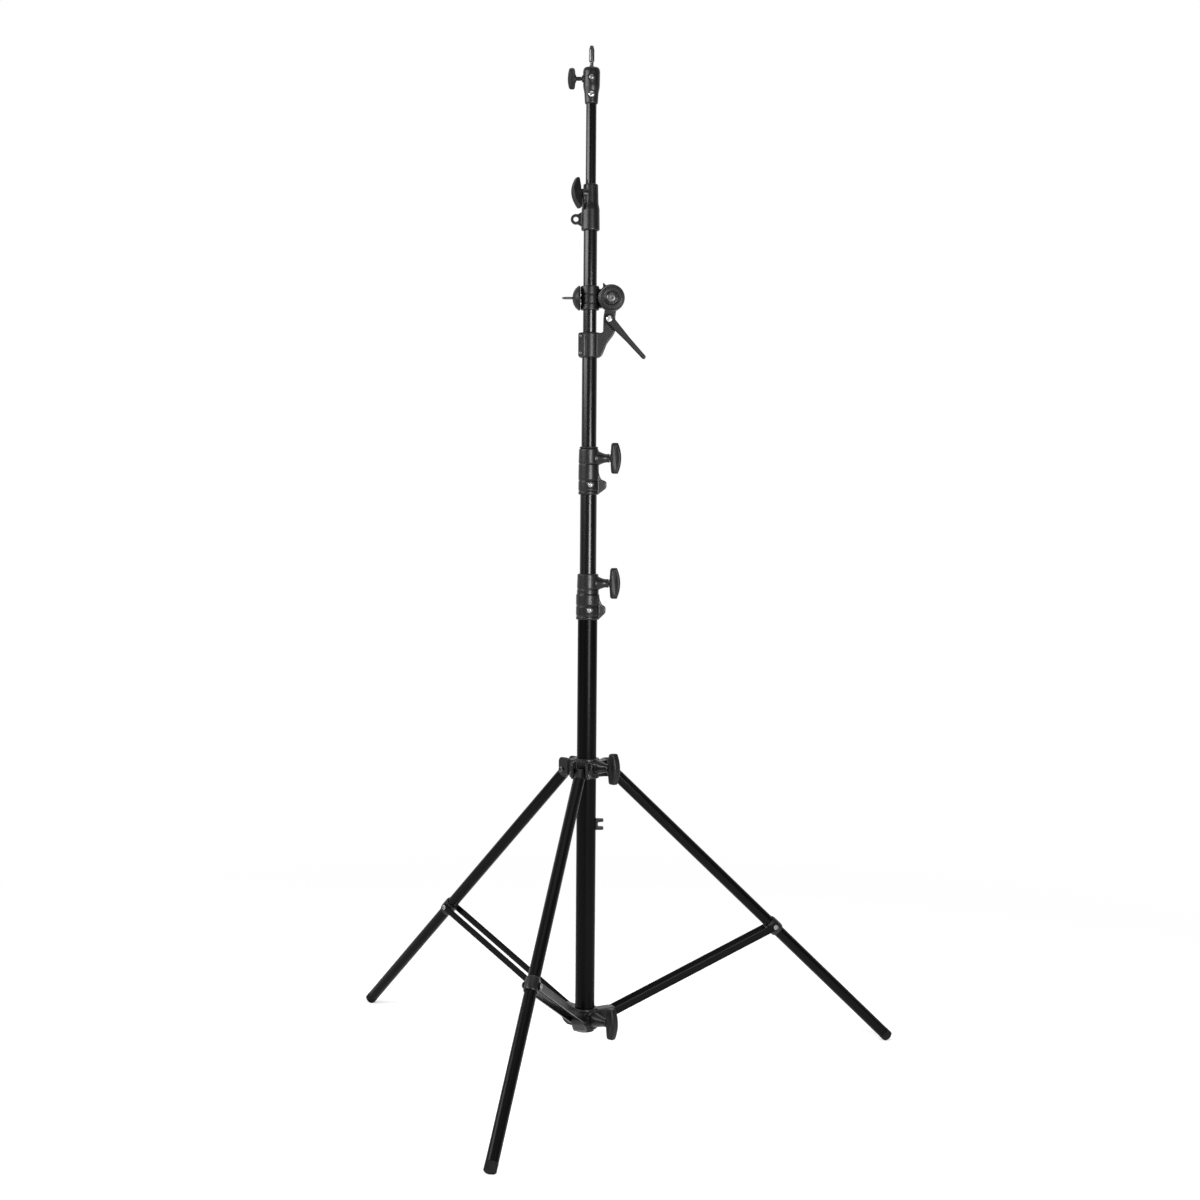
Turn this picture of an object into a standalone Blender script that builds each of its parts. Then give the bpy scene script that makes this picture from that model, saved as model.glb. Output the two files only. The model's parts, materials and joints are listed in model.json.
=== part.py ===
"""Rotatable light stand: braced folding legs, a three-tube mast and a tilting boom clamp.

Metres, +Z up, mast on the Z axis, floor at z = 0. The swivel's face looks along -Y.
"""

import math

import bmesh
import bpy
from mathutils import Matrix

# Clearances
GAP = 0.0003
SLIDE_GAP = 0.00035
PIN_GAP = 0.0003
WELD = 0.000003

# Roundness
TUBE_SIDES = 28
CAST_SIDES = 24
LEG_SIDES = 20
SCREW_SIDES = 12
FACET_TWIST = 7.0

# Mast tubes: outer and inner radius
COLUMN_R, COLUMN_BORE = 0.0175, 0.0159
SECTION_2_R, SECTION_2_BORE = 0.0148, 0.01375
SECTION_3_R, SECTION_3_BORE = 0.01335, 0.0125
BOOM_R, BOOM_BORE = 0.01205, 0.0109
SECTION_5_R, SECTION_5_BORE = 0.0092, 0.0080

# Mast: lengths, and the rise from each feature to the next one up
COLUMN_BOTTOM = 0.0640
COLUMN_LENGTH = 0.7864
SECTION_2_LENGTH = 0.8478
SECTION_3_LENGTH = 0.9037
SECTION_5_LENGTH = 0.4247
COLLAR_2_RISE = 0.2264
BRACKET_RISE = 0.2021
BRACKET_HEIGHT = 0.0443
BRACKET_ROOF = 0.0062
PIVOT_X, PIVOT_RISE = 0.0379, 0.0608
COLLAR_4_RISE = 0.2007
HEAD_RISE, HEAD_HEIGHT = 0.1400, 0.0639
STUD_RISE = 0.0384

# Tube collars
COLLAR_HEIGHT = 0.0820
COLLAR_UPPER_DEPTH = 0.0360
COLLAR_KNOB_DROP = 0.0170
COLLAR_NOSE_DROP = 0.0645
COLLAR_SCREW_X = 0.0030
BOSS_ROOT_R, BOSS_TIP_R = 0.0125, 0.0074
BOSS_TIP_X = 0.0372
CASTING_WALL = 0.0031
PAD_R, PAD_RISE = 0.0066, 0.0024
BUSH_WALL, BUSH_DEPTH, BUSH_RIM = 0.0010, 0.0240, 0.0033

# Heights of the features above the floor
COLLAR_1_TOP = COLUMN_BOTTOM + COLUMN_LENGTH + GAP + COLLAR_UPPER_DEPTH
COLLAR_2_TOP = COLLAR_1_TOP + COLLAR_2_RISE
BRACKET_TOP = COLLAR_2_TOP + BRACKET_RISE
PIVOT_Z = BRACKET_TOP + PIVOT_RISE
COLLAR_4_TOP = PIVOT_Z + COLLAR_4_RISE
HEAD_BOTTOM = COLLAR_4_TOP + HEAD_RISE
HEAD_TOP = HEAD_BOTTOM + HEAD_HEIGHT

# T-knobs
KNOB_HALF_SPAN = 0.0275
KNOB_END_THICKNESS = 0.0130
KNOB_MID_THICKNESS = 0.0190
KNOB_HALF_DEPTH = 0.0080
KNOB_NECK_R, KNOB_NECK = 0.0068, 0.0014
KNOB_SCREW_R, KNOB_SCREW = 0.0030, 0.0120
WING_END_THICKNESS, WING_MID_THICKNESS = 0.0062, 0.0160
WING_HALF_DEPTH, WING_SCREW = 0.0065, 0.0085
WING_BACK, WING_AZIMUTH, WING_LEAN = 0.0188, 208.0, 10.0

# Head
HEAD_SOCKET_DEPTH = 0.0280
HEAD_SCREW_RISE, HEAD_KNOB_DROP = 0.0149, 0.0196
HEAD_LOWER_PAD_Y, HEAD_UPPER_PAD_Y = -0.0153, -0.0166
HEAD_KNOB_X, HEAD_KNOB_LEAN = -0.0285, -25.0
STUD_R, STUD_SEAT = 0.0048, 0.0190
STUD_WAIST_R, STUD_WAIST_BOTTOM, STUD_WAIST_TOP = 0.0033, 0.0030, 0.0092

# Leg set
HUB_Z, HUB_HALF_HEIGHT = 0.5380, 0.0180
SLEEVE_R = 0.0228
LEG_PIVOT_R, LEG_PIVOT_Z = 0.0480, 0.5320
FOOT_RADIUS = 0.6053
LEG_R, LEG_BORE = 0.0105, 0.0090
LEG_PLUG_R = 0.0084
LEG_END_HEIGHT = 0.0055
LEG_CAP_LENGTH = 0.0140
FOOT_LENGTH = 0.0140
FORK_INNER, FORK_OUTER = 0.0110, 0.0155
BRACE_ALONG_LEG = 0.43527
BRACE_PIVOT_R, BRACE_PIVOT_Z = 0.0510, 0.0940
STRIP_INNER, STRIP_OUTER = 0.01175, 0.01425
STRIP_HALF_HEIGHT = 0.0063
EAR_HALF_WIDTH = 0.0113
SPIDER_Z = 0.0845
FORK_LUG_Z = 0.4364
LEG_AZIMUTHS = {"front": -103.65, "right": 16.35, "left": 136.35}
SIDE_KNOB_AZIMUTH = -43.65
SIDE_KNOB_R = 0.0580

# Swivel
DISC_R = 0.0238
DISC_FRONT, DISC_BACK = -0.0155, -0.0013
CLAMP_R, CLAMP_HALF_HEIGHT = 0.0165, 0.0215
CLAMP_DISC_R, CLAMP_DISC_BACK = 0.0220, 0.0130
PIVOT_BOLT_R = 0.0040
LEVER_X, LEVER_DROP = 0.0345, 0.0382
LEVER_REACH_X, LEVER_REACH_Z = 0.0610, 0.0663
LEVER_Z = PIVOT_Z - LEVER_DROP
LEVER_SCREW_R = 0.0030
LUG_X, LUG_Y, LUG_SCREW_INSET = -0.0162, -0.0180, 0.0072

# Finishes: colour, roughness, metallic
FINISHES = {
    "tube": ((0.016, 0.016, 0.018, 1.0), 0.34, 0.55),
    "cast": ((0.020, 0.020, 0.022, 1.0), 0.48, 0.35),
    "plastic": ((0.022, 0.022, 0.023, 1.0), 0.52, 0.0),
    "rubber": ((0.018, 0.018, 0.018, 1.0), 0.80, 0.0),
    "bright": ((0.62, 0.62, 0.63, 1.0), 0.28, 1.0),
    "dark_steel": ((0.060, 0.060, 0.064, 1.0), 0.38, 0.9),
}

stand = bpy.data.collections.new("rotatable_light_stand")


def clear_scene():
    for obj in list(bpy.data.objects):
        bpy.data.objects.remove(obj, do_unlink=True)
    bpy.context.scene.collection.children.link(stand)


def make_material(name, finish):
    colour, roughness, metallic = FINISHES[finish]
    material = bpy.data.materials.new(name + "_finish")
    material.use_nodes = True
    shader = material.node_tree.nodes["Principled BSDF"]
    shader.inputs["Base Color"].default_value = colour
    shader.inputs["Roughness"].default_value = roughness
    shader.inputs["Metallic"].default_value = metallic
    return material


def place(name, mesh, finish, location=(0, 0, 0), turn=(0, 0, 0), parent=None):
    """One named piece of the stand, smooth where its faces meet gently."""
    mesh.name = name
    mesh.shade_smooth()
    mesh.set_sharp_from_angle(angle=math.radians(32))
    obj = bpy.data.objects.new(name, mesh)
    obj.location = location
    obj.rotation_euler = turn
    obj.parent = parent
    mesh.materials.clear()
    mesh.materials.append(make_material(name, finish))
    stand.objects.link(obj)
    return obj


def frame(name, location, turn=(0, 0, 0), parent=None):
    """An empty that carries the pieces turning about its origin."""
    empty = bpy.data.objects.new(name, None)
    empty.location = location
    empty.rotation_euler = turn
    empty.parent = parent
    stand.objects.link(empty)
    return empty


def to_mesh(bm):
    bmesh.ops.recalc_face_normals(bm, faces=bm.faces)
    if bm.calc_volume(signed=True) < 0:
        bmesh.ops.reverse_faces(bm, faces=bm.faces)
    mesh = bpy.data.meshes.new("shape")
    bm.to_mesh(mesh)
    bm.free()
    return mesh


def lathe(profile, sides=CAST_SIDES):
    """Turned shape about Z from radius and height pairs.

    A profile that starts and ends on the axis makes a full solid; any other is closed to a ring.
    """
    full = profile[0][0] == 0
    rim = profile[1:-1] if full else profile
    bm = bmesh.new()
    verts = [bm.verts.new((radius, 0, height)) for radius, height in rim]
    edges = [bm.edges.new(pair) for pair in zip(verts, verts[1:])]
    if not full:
        edges.append(bm.edges.new((verts[-1], verts[0])))
    bmesh.ops.spin(
        bm,
        geom=verts + edges,
        cent=(0, 0, 0),
        axis=(0, 0, 1),
        angle=math.tau,
        steps=sides,
        use_merge=True,
    )
    bmesh.ops.remove_doubles(bm, verts=bm.verts, dist=1e-6)
    bmesh.ops.holes_fill(bm, edges=[edge for edge in bm.edges if edge.is_boundary], sides=0)
    return to_mesh(bm)


def tube(outer, inner, bottom, top, sides=TUBE_SIDES):
    return lathe([(outer, bottom), (outer, top), (inner, top), (inner, bottom)], sides)


def rod(radius, bottom, top, sides=SCREW_SIDES, tip_radius=None):
    tip = radius if tip_radius is None else tip_radius
    return lathe([(0, bottom), (radius, bottom), (tip, top), (0, top)], sides)


def prism(outline, low, high, round_off=0.0):
    """Outline in X and Z, drawn out along Y between low and high."""
    bm = bmesh.new()
    face = bm.faces.new([bm.verts.new((x, low, z)) for x, z in outline])
    drawn = bmesh.ops.extrude_face_region(bm, geom=[face])
    moved = [item for item in drawn["geom"] if isinstance(item, bmesh.types.BMVert)]
    bmesh.ops.translate(bm, verts=moved, vec=(0, high - low, 0))
    if round_off:
        bmesh.ops.bevel(
            bm,
            geom=bm.edges[:],
            offset=round_off,
            segments=1,
            profile=0.5,
            affect="EDGES",
        )
    return to_mesh(bm)


def arc(centre_x, centre_z, radius, start, end, steps):
    """Points on a circle in X and Z, angles in degrees from +X towards +Z."""
    angles = [math.radians(start + (end - start) * i / steps) for i in range(steps + 1)]
    return [(centre_x + radius * math.cos(a), centre_z + radius * math.sin(a)) for a in angles]


def moved(mesh, matrix):
    mesh.transform(matrix)
    return mesh


def along_x(mesh):
    """Turns a round shape made along +Z so that it runs along +X, its facets clear of the mast's."""
    return moved(about_z(mesh, FACET_TWIST), Matrix.Rotation(math.radians(90), 4, "Y"))


def along_y(mesh):
    """Turns a round shape made along +Z so that it runs along +Y, its facets clear of the mast's."""
    return moved(about_z(mesh, FACET_TWIST), Matrix.Rotation(math.radians(-90), 4, "X"))


def shifted(mesh, x=0.0, y=0.0, z=0.0):
    return moved(mesh, Matrix.Translation((x, y, z)))


def about_z(mesh, degrees):
    return moved(mesh, Matrix.Rotation(math.radians(degrees), 4, "Z"))


def combine(base, others, operation):
    """Exact Boolean of the base mesh with each of the others in turn."""
    host = bpy.data.objects.new("host", base)
    stand.objects.link(host)
    tools = []
    for mesh in others:
        tool = bpy.data.objects.new("tool", mesh)
        stand.objects.link(tool)
        tools.append(tool)
        modifier = host.modifiers.new("combine", "BOOLEAN")
        modifier.operation = operation
        modifier.solver = "EXACT"
        modifier.object = tool
    graph = bpy.context.evaluated_depsgraph_get()
    result = bpy.data.meshes.new_from_object(host.evaluated_get(graph))
    for obj in (host, *tools):
        bpy.data.objects.remove(obj, do_unlink=True)
    bm = bmesh.new()
    bm.from_mesh(result)
    bmesh.ops.remove_doubles(bm, verts=bm.verts, dist=WELD)
    bmesh.ops.dissolve_degenerate(bm, edges=bm.edges, dist=WELD)
    bm.to_mesh(result)
    bm.free()
    return result


def fuse(base, *others):
    return combine(base, others, "UNION")


def carve(base, *cutters):
    return combine(base, cutters, "DIFFERENCE")


def t_knob(
    half_span=KNOB_HALF_SPAN,
    ends=KNOB_END_THICKNESS,
    middle=KNOB_MID_THICKNESS,
    half_depth=KNOB_HALF_DEPTH,
    screw_length=KNOB_SCREW,
):
    """T-bar knob: the screw runs along X, the bar along Z, the back of the bar at x = 0."""
    crown = [
        (ends + (middle - ends) * (1 - (i / 4) ** 2), half_span * i / 4) for i in range(-4, 5)
    ]
    outline = [(0.0, -half_span), *crown, (0.0, half_span)]
    bar = prism(outline, -half_depth, half_depth, 0.0018)
    neck = along_x(rod(min(KNOB_NECK_R, half_depth - 0.0003), -KNOB_NECK, 0.004))
    screw = along_x(rod(KNOB_SCREW_R, -screw_length, 0.003))
    return fuse(bar, neck, screw)


def knob_hole(tip_x, height, screw_length=KNOB_SCREW):
    """Cutter for a knob's screw hole, open at the boss tip at tip_x."""
    depth = screw_length - KNOB_NECK + GAP
    hole = along_x(rod(KNOB_SCREW_R + PIN_GAP, -depth, 0.002))
    return shifted(hole, x=tip_x, z=height)


def screw_pad(face_y, height, x=0.0):
    """Round pad on the -Y side of a casting, its face at face_y."""
    return shifted(along_y(rod(PAD_R, 0.0, 0.0062)), x=x, y=face_y, z=height)


def screw_hole(face_y, height, x=0.0):
    return shifted(along_y(rod(0.0026, -0.001, 0.0036)), x=x, y=face_y, z=height)


def round_screw(head_r=0.0047, head=0.0026, shank=0.0030):
    """Screw seen from -Y: the underside of the head at y = 0, the shank along +Y."""
    profile = [
        (0, -head),
        (head_r * 0.75, -head),
        (head_r, -head * 0.6),
        (head_r, 0),
        (0.0022, 0),
        (0.0022, shank),
        (0, shank),
    ]
    return along_y(lathe(profile, SCREW_SIDES))


def collar_casting(lower_tube, upper_tube):
    """Clamp collar: the origin on the tube axis at the top face, the knob boss along +X."""
    low_r = lower_tube + SLIDE_GAP + CASTING_WALL
    high_r = max(upper_tube + SLIDE_GAP + CASTING_WALL, low_r - 0.0015)
    bottom = -COLLAR_HEIGHT
    barrel = lathe(
        [
            (0, bottom),
            (low_r - 0.0010, bottom),
            (low_r, bottom + 0.0012),
            (low_r, -COLLAR_UPPER_DEPTH - 0.0020),
            (high_r, -COLLAR_UPPER_DEPTH),
            (high_r, -0.0012),
            (high_r - 0.0010, 0),
            (0, 0),
        ]
    )
    boss = along_x(
        lathe(
            [
                (0, 0.006),
                (BOSS_ROOT_R + 0.0010, 0.006),
                (BOSS_ROOT_R, 0.0180),
                (BOSS_TIP_R + 0.0020, 0.0270),
                (BOSS_TIP_R, 0.0330),
                (BOSS_TIP_R, BOSS_TIP_X),
                (0, BOSS_TIP_X),
            ],
            24,
        )
    )
    boss = shifted(boss, z=-COLLAR_KNOB_DROP)
    nose_z = -COLLAR_NOSE_DROP
    nose = prism(
        [
            (0.0060, bottom + 0.0004),
            (low_r - 0.0020, bottom + 0.0004),
            (0.0300, nose_z - 0.0075),
            (0.0322, nose_z - 0.0045),
            (0.0322, nose_z + 0.0045),
            (0.0300, nose_z + 0.0070),
            (low_r + 0.0035, nose_z + 0.0100),
            (low_r - 0.0010, nose_z + 0.0165),
            (0.0060, nose_z + 0.0165),
        ],
        -0.0080,
        0.0080,
    )
    pad_y = -(low_r + PAD_RISE)
    solid = fuse(barrel, boss, nose, screw_pad(pad_y, nose_z, COLLAR_SCREW_X))
    return carve(
        solid,
        rod(lower_tube + SLIDE_GAP, bottom - 0.01, -COLLAR_UPPER_DEPTH, TUBE_SIDES),
        rod(upper_tube + SLIDE_GAP, -COLLAR_HEIGHT, 0.01, TUBE_SIDES),
        knob_hole(BOSS_TIP_X, -COLLAR_KNOB_DROP),
        screw_hole(pad_y, nose_z, COLLAR_SCREW_X),
    )


def collar_set(name, top, lower_tube, upper_tube):
    """Casting, T-knob and front screw of one clamp collar on the mast."""
    place(name, collar_casting(lower_tube, upper_tube), "cast", (0, 0, top))
    knob_at = (BOSS_TIP_X + KNOB_NECK + GAP, 0, top - COLLAR_KNOB_DROP)
    place(name + "_knob", t_knob(), "plastic", knob_at)
    pad_y = -(lower_tube + SLIDE_GAP + CASTING_WALL + PAD_RISE)
    screw_at = (COLLAR_SCREW_X, pad_y - GAP, top - COLLAR_NOSE_DROP)
    place(name + "_screw", round_screw(), "bright", screw_at)


def build_mast():
    column = tube(COLUMN_R, COLUMN_BORE, 0, COLUMN_LENGTH)
    place("column_tube", column, "tube", (0, 0, COLUMN_BOTTOM))
    plug = lathe(
        [
            (0, COLUMN_BOTTOM - 0.0033),
            (COLUMN_R - 0.0012, COLUMN_BOTTOM - 0.0033),
            (COLUMN_R - 0.0002, COLUMN_BOTTOM - 0.0022),
            (COLUMN_R - 0.0002, COLUMN_BOTTOM - GAP),
            (COLUMN_BORE - SLIDE_GAP, COLUMN_BOTTOM - GAP),
            (COLUMN_BORE - SLIDE_GAP, COLUMN_BOTTOM + 0.020),
            (0, COLUMN_BOTTOM + 0.020),
        ]
    )
    place("column_end_plug", plug, "plastic")
    collar_set("collar_1", COLLAR_1_TOP, COLUMN_R, SECTION_2_R)

    collar_2_top = COLLAR_2_TOP - BUSH_RIM
    section_2 = tube(SECTION_2_R, SECTION_2_BORE, -SECTION_2_LENGTH, 0)
    section_2_top = collar_2_top - COLLAR_UPPER_DEPTH - GAP
    place("section_2_tube", section_2, "tube", (0, 0, section_2_top))
    bush_r = SECTION_3_R + SLIDE_GAP + BUSH_WALL
    collar_set("collar_2", collar_2_top, SECTION_2_R, bush_r)
    bush = lathe(
        [
            (bush_r, -BUSH_DEPTH),
            (bush_r, GAP),
            (bush_r + 0.0019, GAP),
            (bush_r + 0.0019, BUSH_RIM - 0.0011),
            (bush_r + 0.0009, BUSH_RIM),
            (SECTION_3_R + SLIDE_GAP, BUSH_RIM),
            (SECTION_3_R + SLIDE_GAP, -BUSH_DEPTH),
        ]
    )
    place("collar_2_bush", bush, "plastic", (0, 0, collar_2_top))

    section_3 = tube(SECTION_3_R, SECTION_3_BORE, -SECTION_3_LENGTH, 0)
    place("section_3_tube", section_3, "tube", (0, 0, BRACKET_TOP - BRACKET_ROOF - GAP))


def bracket_casting():
    """Mast-top collar, arm and front disc of the swivel, in world heights."""
    bottom = BRACKET_TOP - BRACKET_HEIGHT
    barrel = lathe(
        [
            (0, bottom),
            (0.0178, bottom),
            (0.0192, bottom + 0.0016),
            (0.0192, BRACKET_TOP - 0.0016),
            (0.0178, BRACKET_TOP),
            (0, BRACKET_TOP),
        ]
    )
    arm = prism(
        [
            (0.0100, bottom + 0.0004),
            (0.0205, bottom + 0.0004),
            (0.0232, bottom + 0.0060),
            (0.0305, bottom + 0.0251),
            (0.0430, bottom + 0.0406),
            (0.0465, LEVER_Z - 0.0178),
            (0.0463, LEVER_Z - 0.0078),
            (0.0450, LEVER_Z + 0.0042),
            (0.0480, PIVOT_Z - 0.0160),
            (0.0270, PIVOT_Z - 0.0160),
            (0.0236, LEVER_Z + 0.0042),
            (0.0234, BRACKET_TOP - 0.0010),
            (0.0100, BRACKET_TOP - 0.0010),
        ],
        DISC_FRONT + 0.0008,
        DISC_BACK - 0.0005,
    )
    disc = lathe(
        [
            (0, DISC_FRONT),
            (DISC_R - 0.0012, DISC_FRONT),
            (DISC_R, DISC_FRONT + 0.0012),
            (DISC_R, DISC_BACK),
            (0, DISC_BACK),
        ]
    )
    disc = shifted(along_y(disc), x=PIVOT_X, z=PIVOT_Z)
    lug = prism(
        [
            (-0.0202, bottom + 0.0020),
            (-0.0080, bottom + 0.0020),
            (-0.0080, BRACKET_TOP - 0.0020),
            (-0.0202, BRACKET_TOP - 0.0020),
        ],
        LUG_Y,
        -0.0020,
    )
    solid = fuse(barrel, arm, disc, lug)
    pivot_hole = along_y(rod(PIVOT_BOLT_R + PIN_GAP, -0.03, 0.02))
    lever_hole = along_y(rod(LEVER_SCREW_R + PIN_GAP, -0.03, 0.02))
    return carve(
        solid,
        rod(SECTION_3_R + GAP, bottom - 0.01, BRACKET_TOP - BRACKET_ROOF, TUBE_SIDES),
        rod(SECTION_3_BORE + 0.0001, bottom, BRACKET_TOP + 0.01, TUBE_SIDES),
        shifted(pivot_hole, x=PIVOT_X, z=PIVOT_Z),
        shifted(lever_hole, x=LEVER_X, z=LEVER_Z),
        screw_hole(LUG_Y, bottom + LUG_SCREW_INSET, LUG_X),
        screw_hole(LUG_Y, BRACKET_TOP - LUG_SCREW_INSET, LUG_X),
    )


def build_bracket():
    place("boom_bracket", bracket_casting(), "cast")
    lower = BRACKET_TOP - BRACKET_HEIGHT + LUG_SCREW_INSET
    for label, height in (("lower", lower), ("upper", BRACKET_TOP - LUG_SCREW_INSET)):
        at = (LUG_X, LUG_Y - GAP, height)
        place("bracket_screw_" + label, round_screw(0.0030, 0.0022), "dark_steel", at)

    bolt = along_y(
        lathe(
            [
                (0, DISC_FRONT - 0.0045),
                (0.0070, DISC_FRONT - 0.0045),
                (0.0085, DISC_FRONT - 0.0032),
                (0.0085, DISC_FRONT - GAP),
                (PIVOT_BOLT_R, DISC_FRONT - GAP),
                (PIVOT_BOLT_R, CLAMP_DISC_BACK + GAP),
                (0.0075, CLAMP_DISC_BACK + GAP),
                (0.0075, CLAMP_DISC_BACK + 0.0058),
                (0, CLAMP_DISC_BACK + 0.0058),
            ],
            24,
        )
    )
    place("tilt_pivot_bolt", bolt, "dark_steel", (PIVOT_X, 0, PIVOT_Z))

    reach = math.hypot(LEVER_REACH_X, LEVER_REACH_Z)
    handle = prism(
        [
            *arc(0, 0, 0.0085, 60, 300, 8),
            (0.0180, -0.0066),
            *arc(reach, 0, 0.0038, -90, 90, 4),
            (0.0180, 0.0066),
        ],
        -0.0045,
        0.0045,
        0.0006,
    )
    handle = carve(handle, along_y(rod(LEVER_SCREW_R + PIN_GAP, -0.01, 0.01)))
    lean = (0, math.atan2(LEVER_REACH_Z, LEVER_REACH_X), 0)
    lever_y = DISC_FRONT - GAP - 0.0045
    place("tilt_lever", handle, "plastic", (LEVER_X, lever_y, LEVER_Z), lean)
    lever_screw = along_y(
        lathe(
            [
                (0, -0.0030),
                (0.0042, -0.0030),
                (0.0056, -0.0016),
                (0.0056, 0),
                (LEVER_SCREW_R, 0),
                (LEVER_SCREW_R, 0.0200),
                (0, 0.0200),
            ],
            24,
        )
    )
    place("tilt_lever_screw", lever_screw, "bright", (LEVER_X, lever_y - 0.0048, LEVER_Z))


def clamp_casting():
    """Boom clamp: the origin on the tilt axis, the boom bore PIVOT_X to its left."""
    half = CLAMP_HALF_HEIGHT
    barrel = lathe(
        [
            (0, -half),
            (CLAMP_R - 0.0012, -half),
            (CLAMP_R, -half + 0.0012),
            (CLAMP_R, half - 0.0012),
            (CLAMP_R - 0.0012, half),
            (0, half),
        ]
    )
    barrel = shifted(barrel, x=-PIVOT_X)
    front = DISC_BACK + GAP
    disc = along_y(
        lathe(
            [
                (0, front + 0.0003),
                (CLAMP_DISC_R, front + 0.0003),
                (CLAMP_DISC_R, CLAMP_DISC_BACK - 0.0012),
                (CLAMP_DISC_R - 0.0012, CLAMP_DISC_BACK),
                (0, CLAMP_DISC_BACK),
            ]
        )
    )
    web = prism(
        [(-PIVOT_X, -0.0170), (0.0, -0.0170), (0.0, 0.0170), (-PIVOT_X, 0.0170)],
        front + 0.0012,
        CLAMP_DISC_BACK - 0.0006,
    )
    pointer = prism(
        [(-0.0050, 0.0150), (-0.0060, 0.0205), (-0.0152, 0.0290), (-0.0148, 0.0150)],
        front + 0.0020,
        front + 0.0070,
    )
    solid = fuse(barrel, disc, web, pointer)
    boom_bore = shifted(rod(BOOM_R + SLIDE_GAP, -0.04, 0.04, TUBE_SIDES), x=-PIVOT_X)
    disc_room = along_y(rod(DISC_R + 0.0004, -0.04, front, 48))
    return carve(
        solid,
        boom_bore,
        disc_room,
        along_y(rod(PIVOT_BOLT_R + PIN_GAP, -0.03, 0.03)),
        along_x(shifted(rod(0.0026, -PIVOT_X - 0.03, -PIVOT_X - 0.0133), z=0.0)),
    )


def build_boom():
    place("boom_clamp", clamp_casting(), "cast", (PIVOT_X, 0, PIVOT_Z))
    dome = lathe(
        [
            (0.0028, 0),
            (0.0205, 0),
            (0.0220, 0.0014),
            (0.0212, 0.0042),
            (0.0172, 0.0094),
            (0.0105, 0.0130),
            (0.0028, 0.0143),
        ]
    )
    dome = moved(dome, Matrix.Rotation(math.radians(-90), 4, "Y"))
    place("boom_clamp_knob", dome, "plastic", (-CLAMP_R - GAP, 0, PIVOT_Z))
    stem = lathe(
        [
            (0, -0.0028),
            (0.0023, -0.0028),
            (0.0023, 0.0285),
            (0.0017, 0.0325),
            (0, 0.0325),
        ],
        SCREW_SIDES,
    )
    stem = moved(stem, Matrix.Rotation(math.radians(-90), 4, "Y"))
    place("boom_clamp_screw", stem, "bright", (-CLAMP_R - GAP, 0, PIVOT_Z))

    boom_top = COLLAR_4_TOP - COLLAR_UPPER_DEPTH - GAP
    boom_bottom = BRACKET_TOP + 0.0006
    place(
        "boom_tube",
        tube(BOOM_R, BOOM_BORE, 0, boom_top - boom_bottom),
        "tube",
        (0, 0, boom_bottom),
    )
    build_boom_collar()
    section_5 = tube(SECTION_5_R, SECTION_5_BORE, -SECTION_5_LENGTH, 0, CAST_SIDES)
    place("section_5_tube", section_5, "tube", (0, 0, HEAD_BOTTOM + HEAD_SOCKET_DEPTH))


def build_boom_collar():
    """Collar between the boom tube and the thin top tube, its knob towards the left front."""
    bottom = -COLLAR_HEIGHT
    barrel = lathe(
        [
            (0, bottom),
            (0.0155, bottom),
            (0.0165, bottom + 0.0012),
            (0.0160, -0.0440),
            (0.0138, -0.0340),
            (0.0132, -0.0012),
            (0.0122, 0),
            (0, 0),
        ]
    )
    boss = along_x(lathe([(0, 0.004), (0.0105, 0.004), (0.0074, WING_BACK), (0, WING_BACK)]))
    boss = about_z(shifted(boss, z=-COLLAR_KNOB_DROP), WING_AZIMUTH)
    eye = prism(
        [
            (-0.0100, -0.0470),
            (-0.0165, -0.0495),
            *arc(-0.0258, -0.0620, 0.0094, 70, 290, 10),
            (-0.0165, -0.0745),
            (-0.0100, -0.0770),
        ],
        -0.0032,
        0.0032,
    )
    solid = fuse(barrel, boss, eye)
    solid = carve(
        solid,
        rod(BOOM_R + SLIDE_GAP, bottom - 0.01, -COLLAR_UPPER_DEPTH, TUBE_SIDES),
        rod(SECTION_5_R + SLIDE_GAP, bottom, 0.01, CAST_SIDES),
        shifted(along_y(rod(0.0045, -0.02, 0.02)), x=-0.0258, z=-0.0620),
        about_z(knob_hole(WING_BACK, -COLLAR_KNOB_DROP, WING_SCREW), WING_AZIMUTH),
    )
    place("collar_4", solid, "cast", (0, 0, COLLAR_4_TOP))
    knob = t_knob(
        KNOB_HALF_SPAN, WING_END_THICKNESS, WING_MID_THICKNESS, WING_HALF_DEPTH, WING_SCREW
    )
    heading = math.radians(WING_AZIMUTH)
    out = WING_BACK + KNOB_NECK + GAP
    at = (out * math.cos(heading), out * math.sin(heading), COLLAR_4_TOP - COLLAR_KNOB_DROP)
    place("collar_4_knob", knob, "plastic", at, (math.radians(WING_LEAN), 0, heading))


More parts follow.
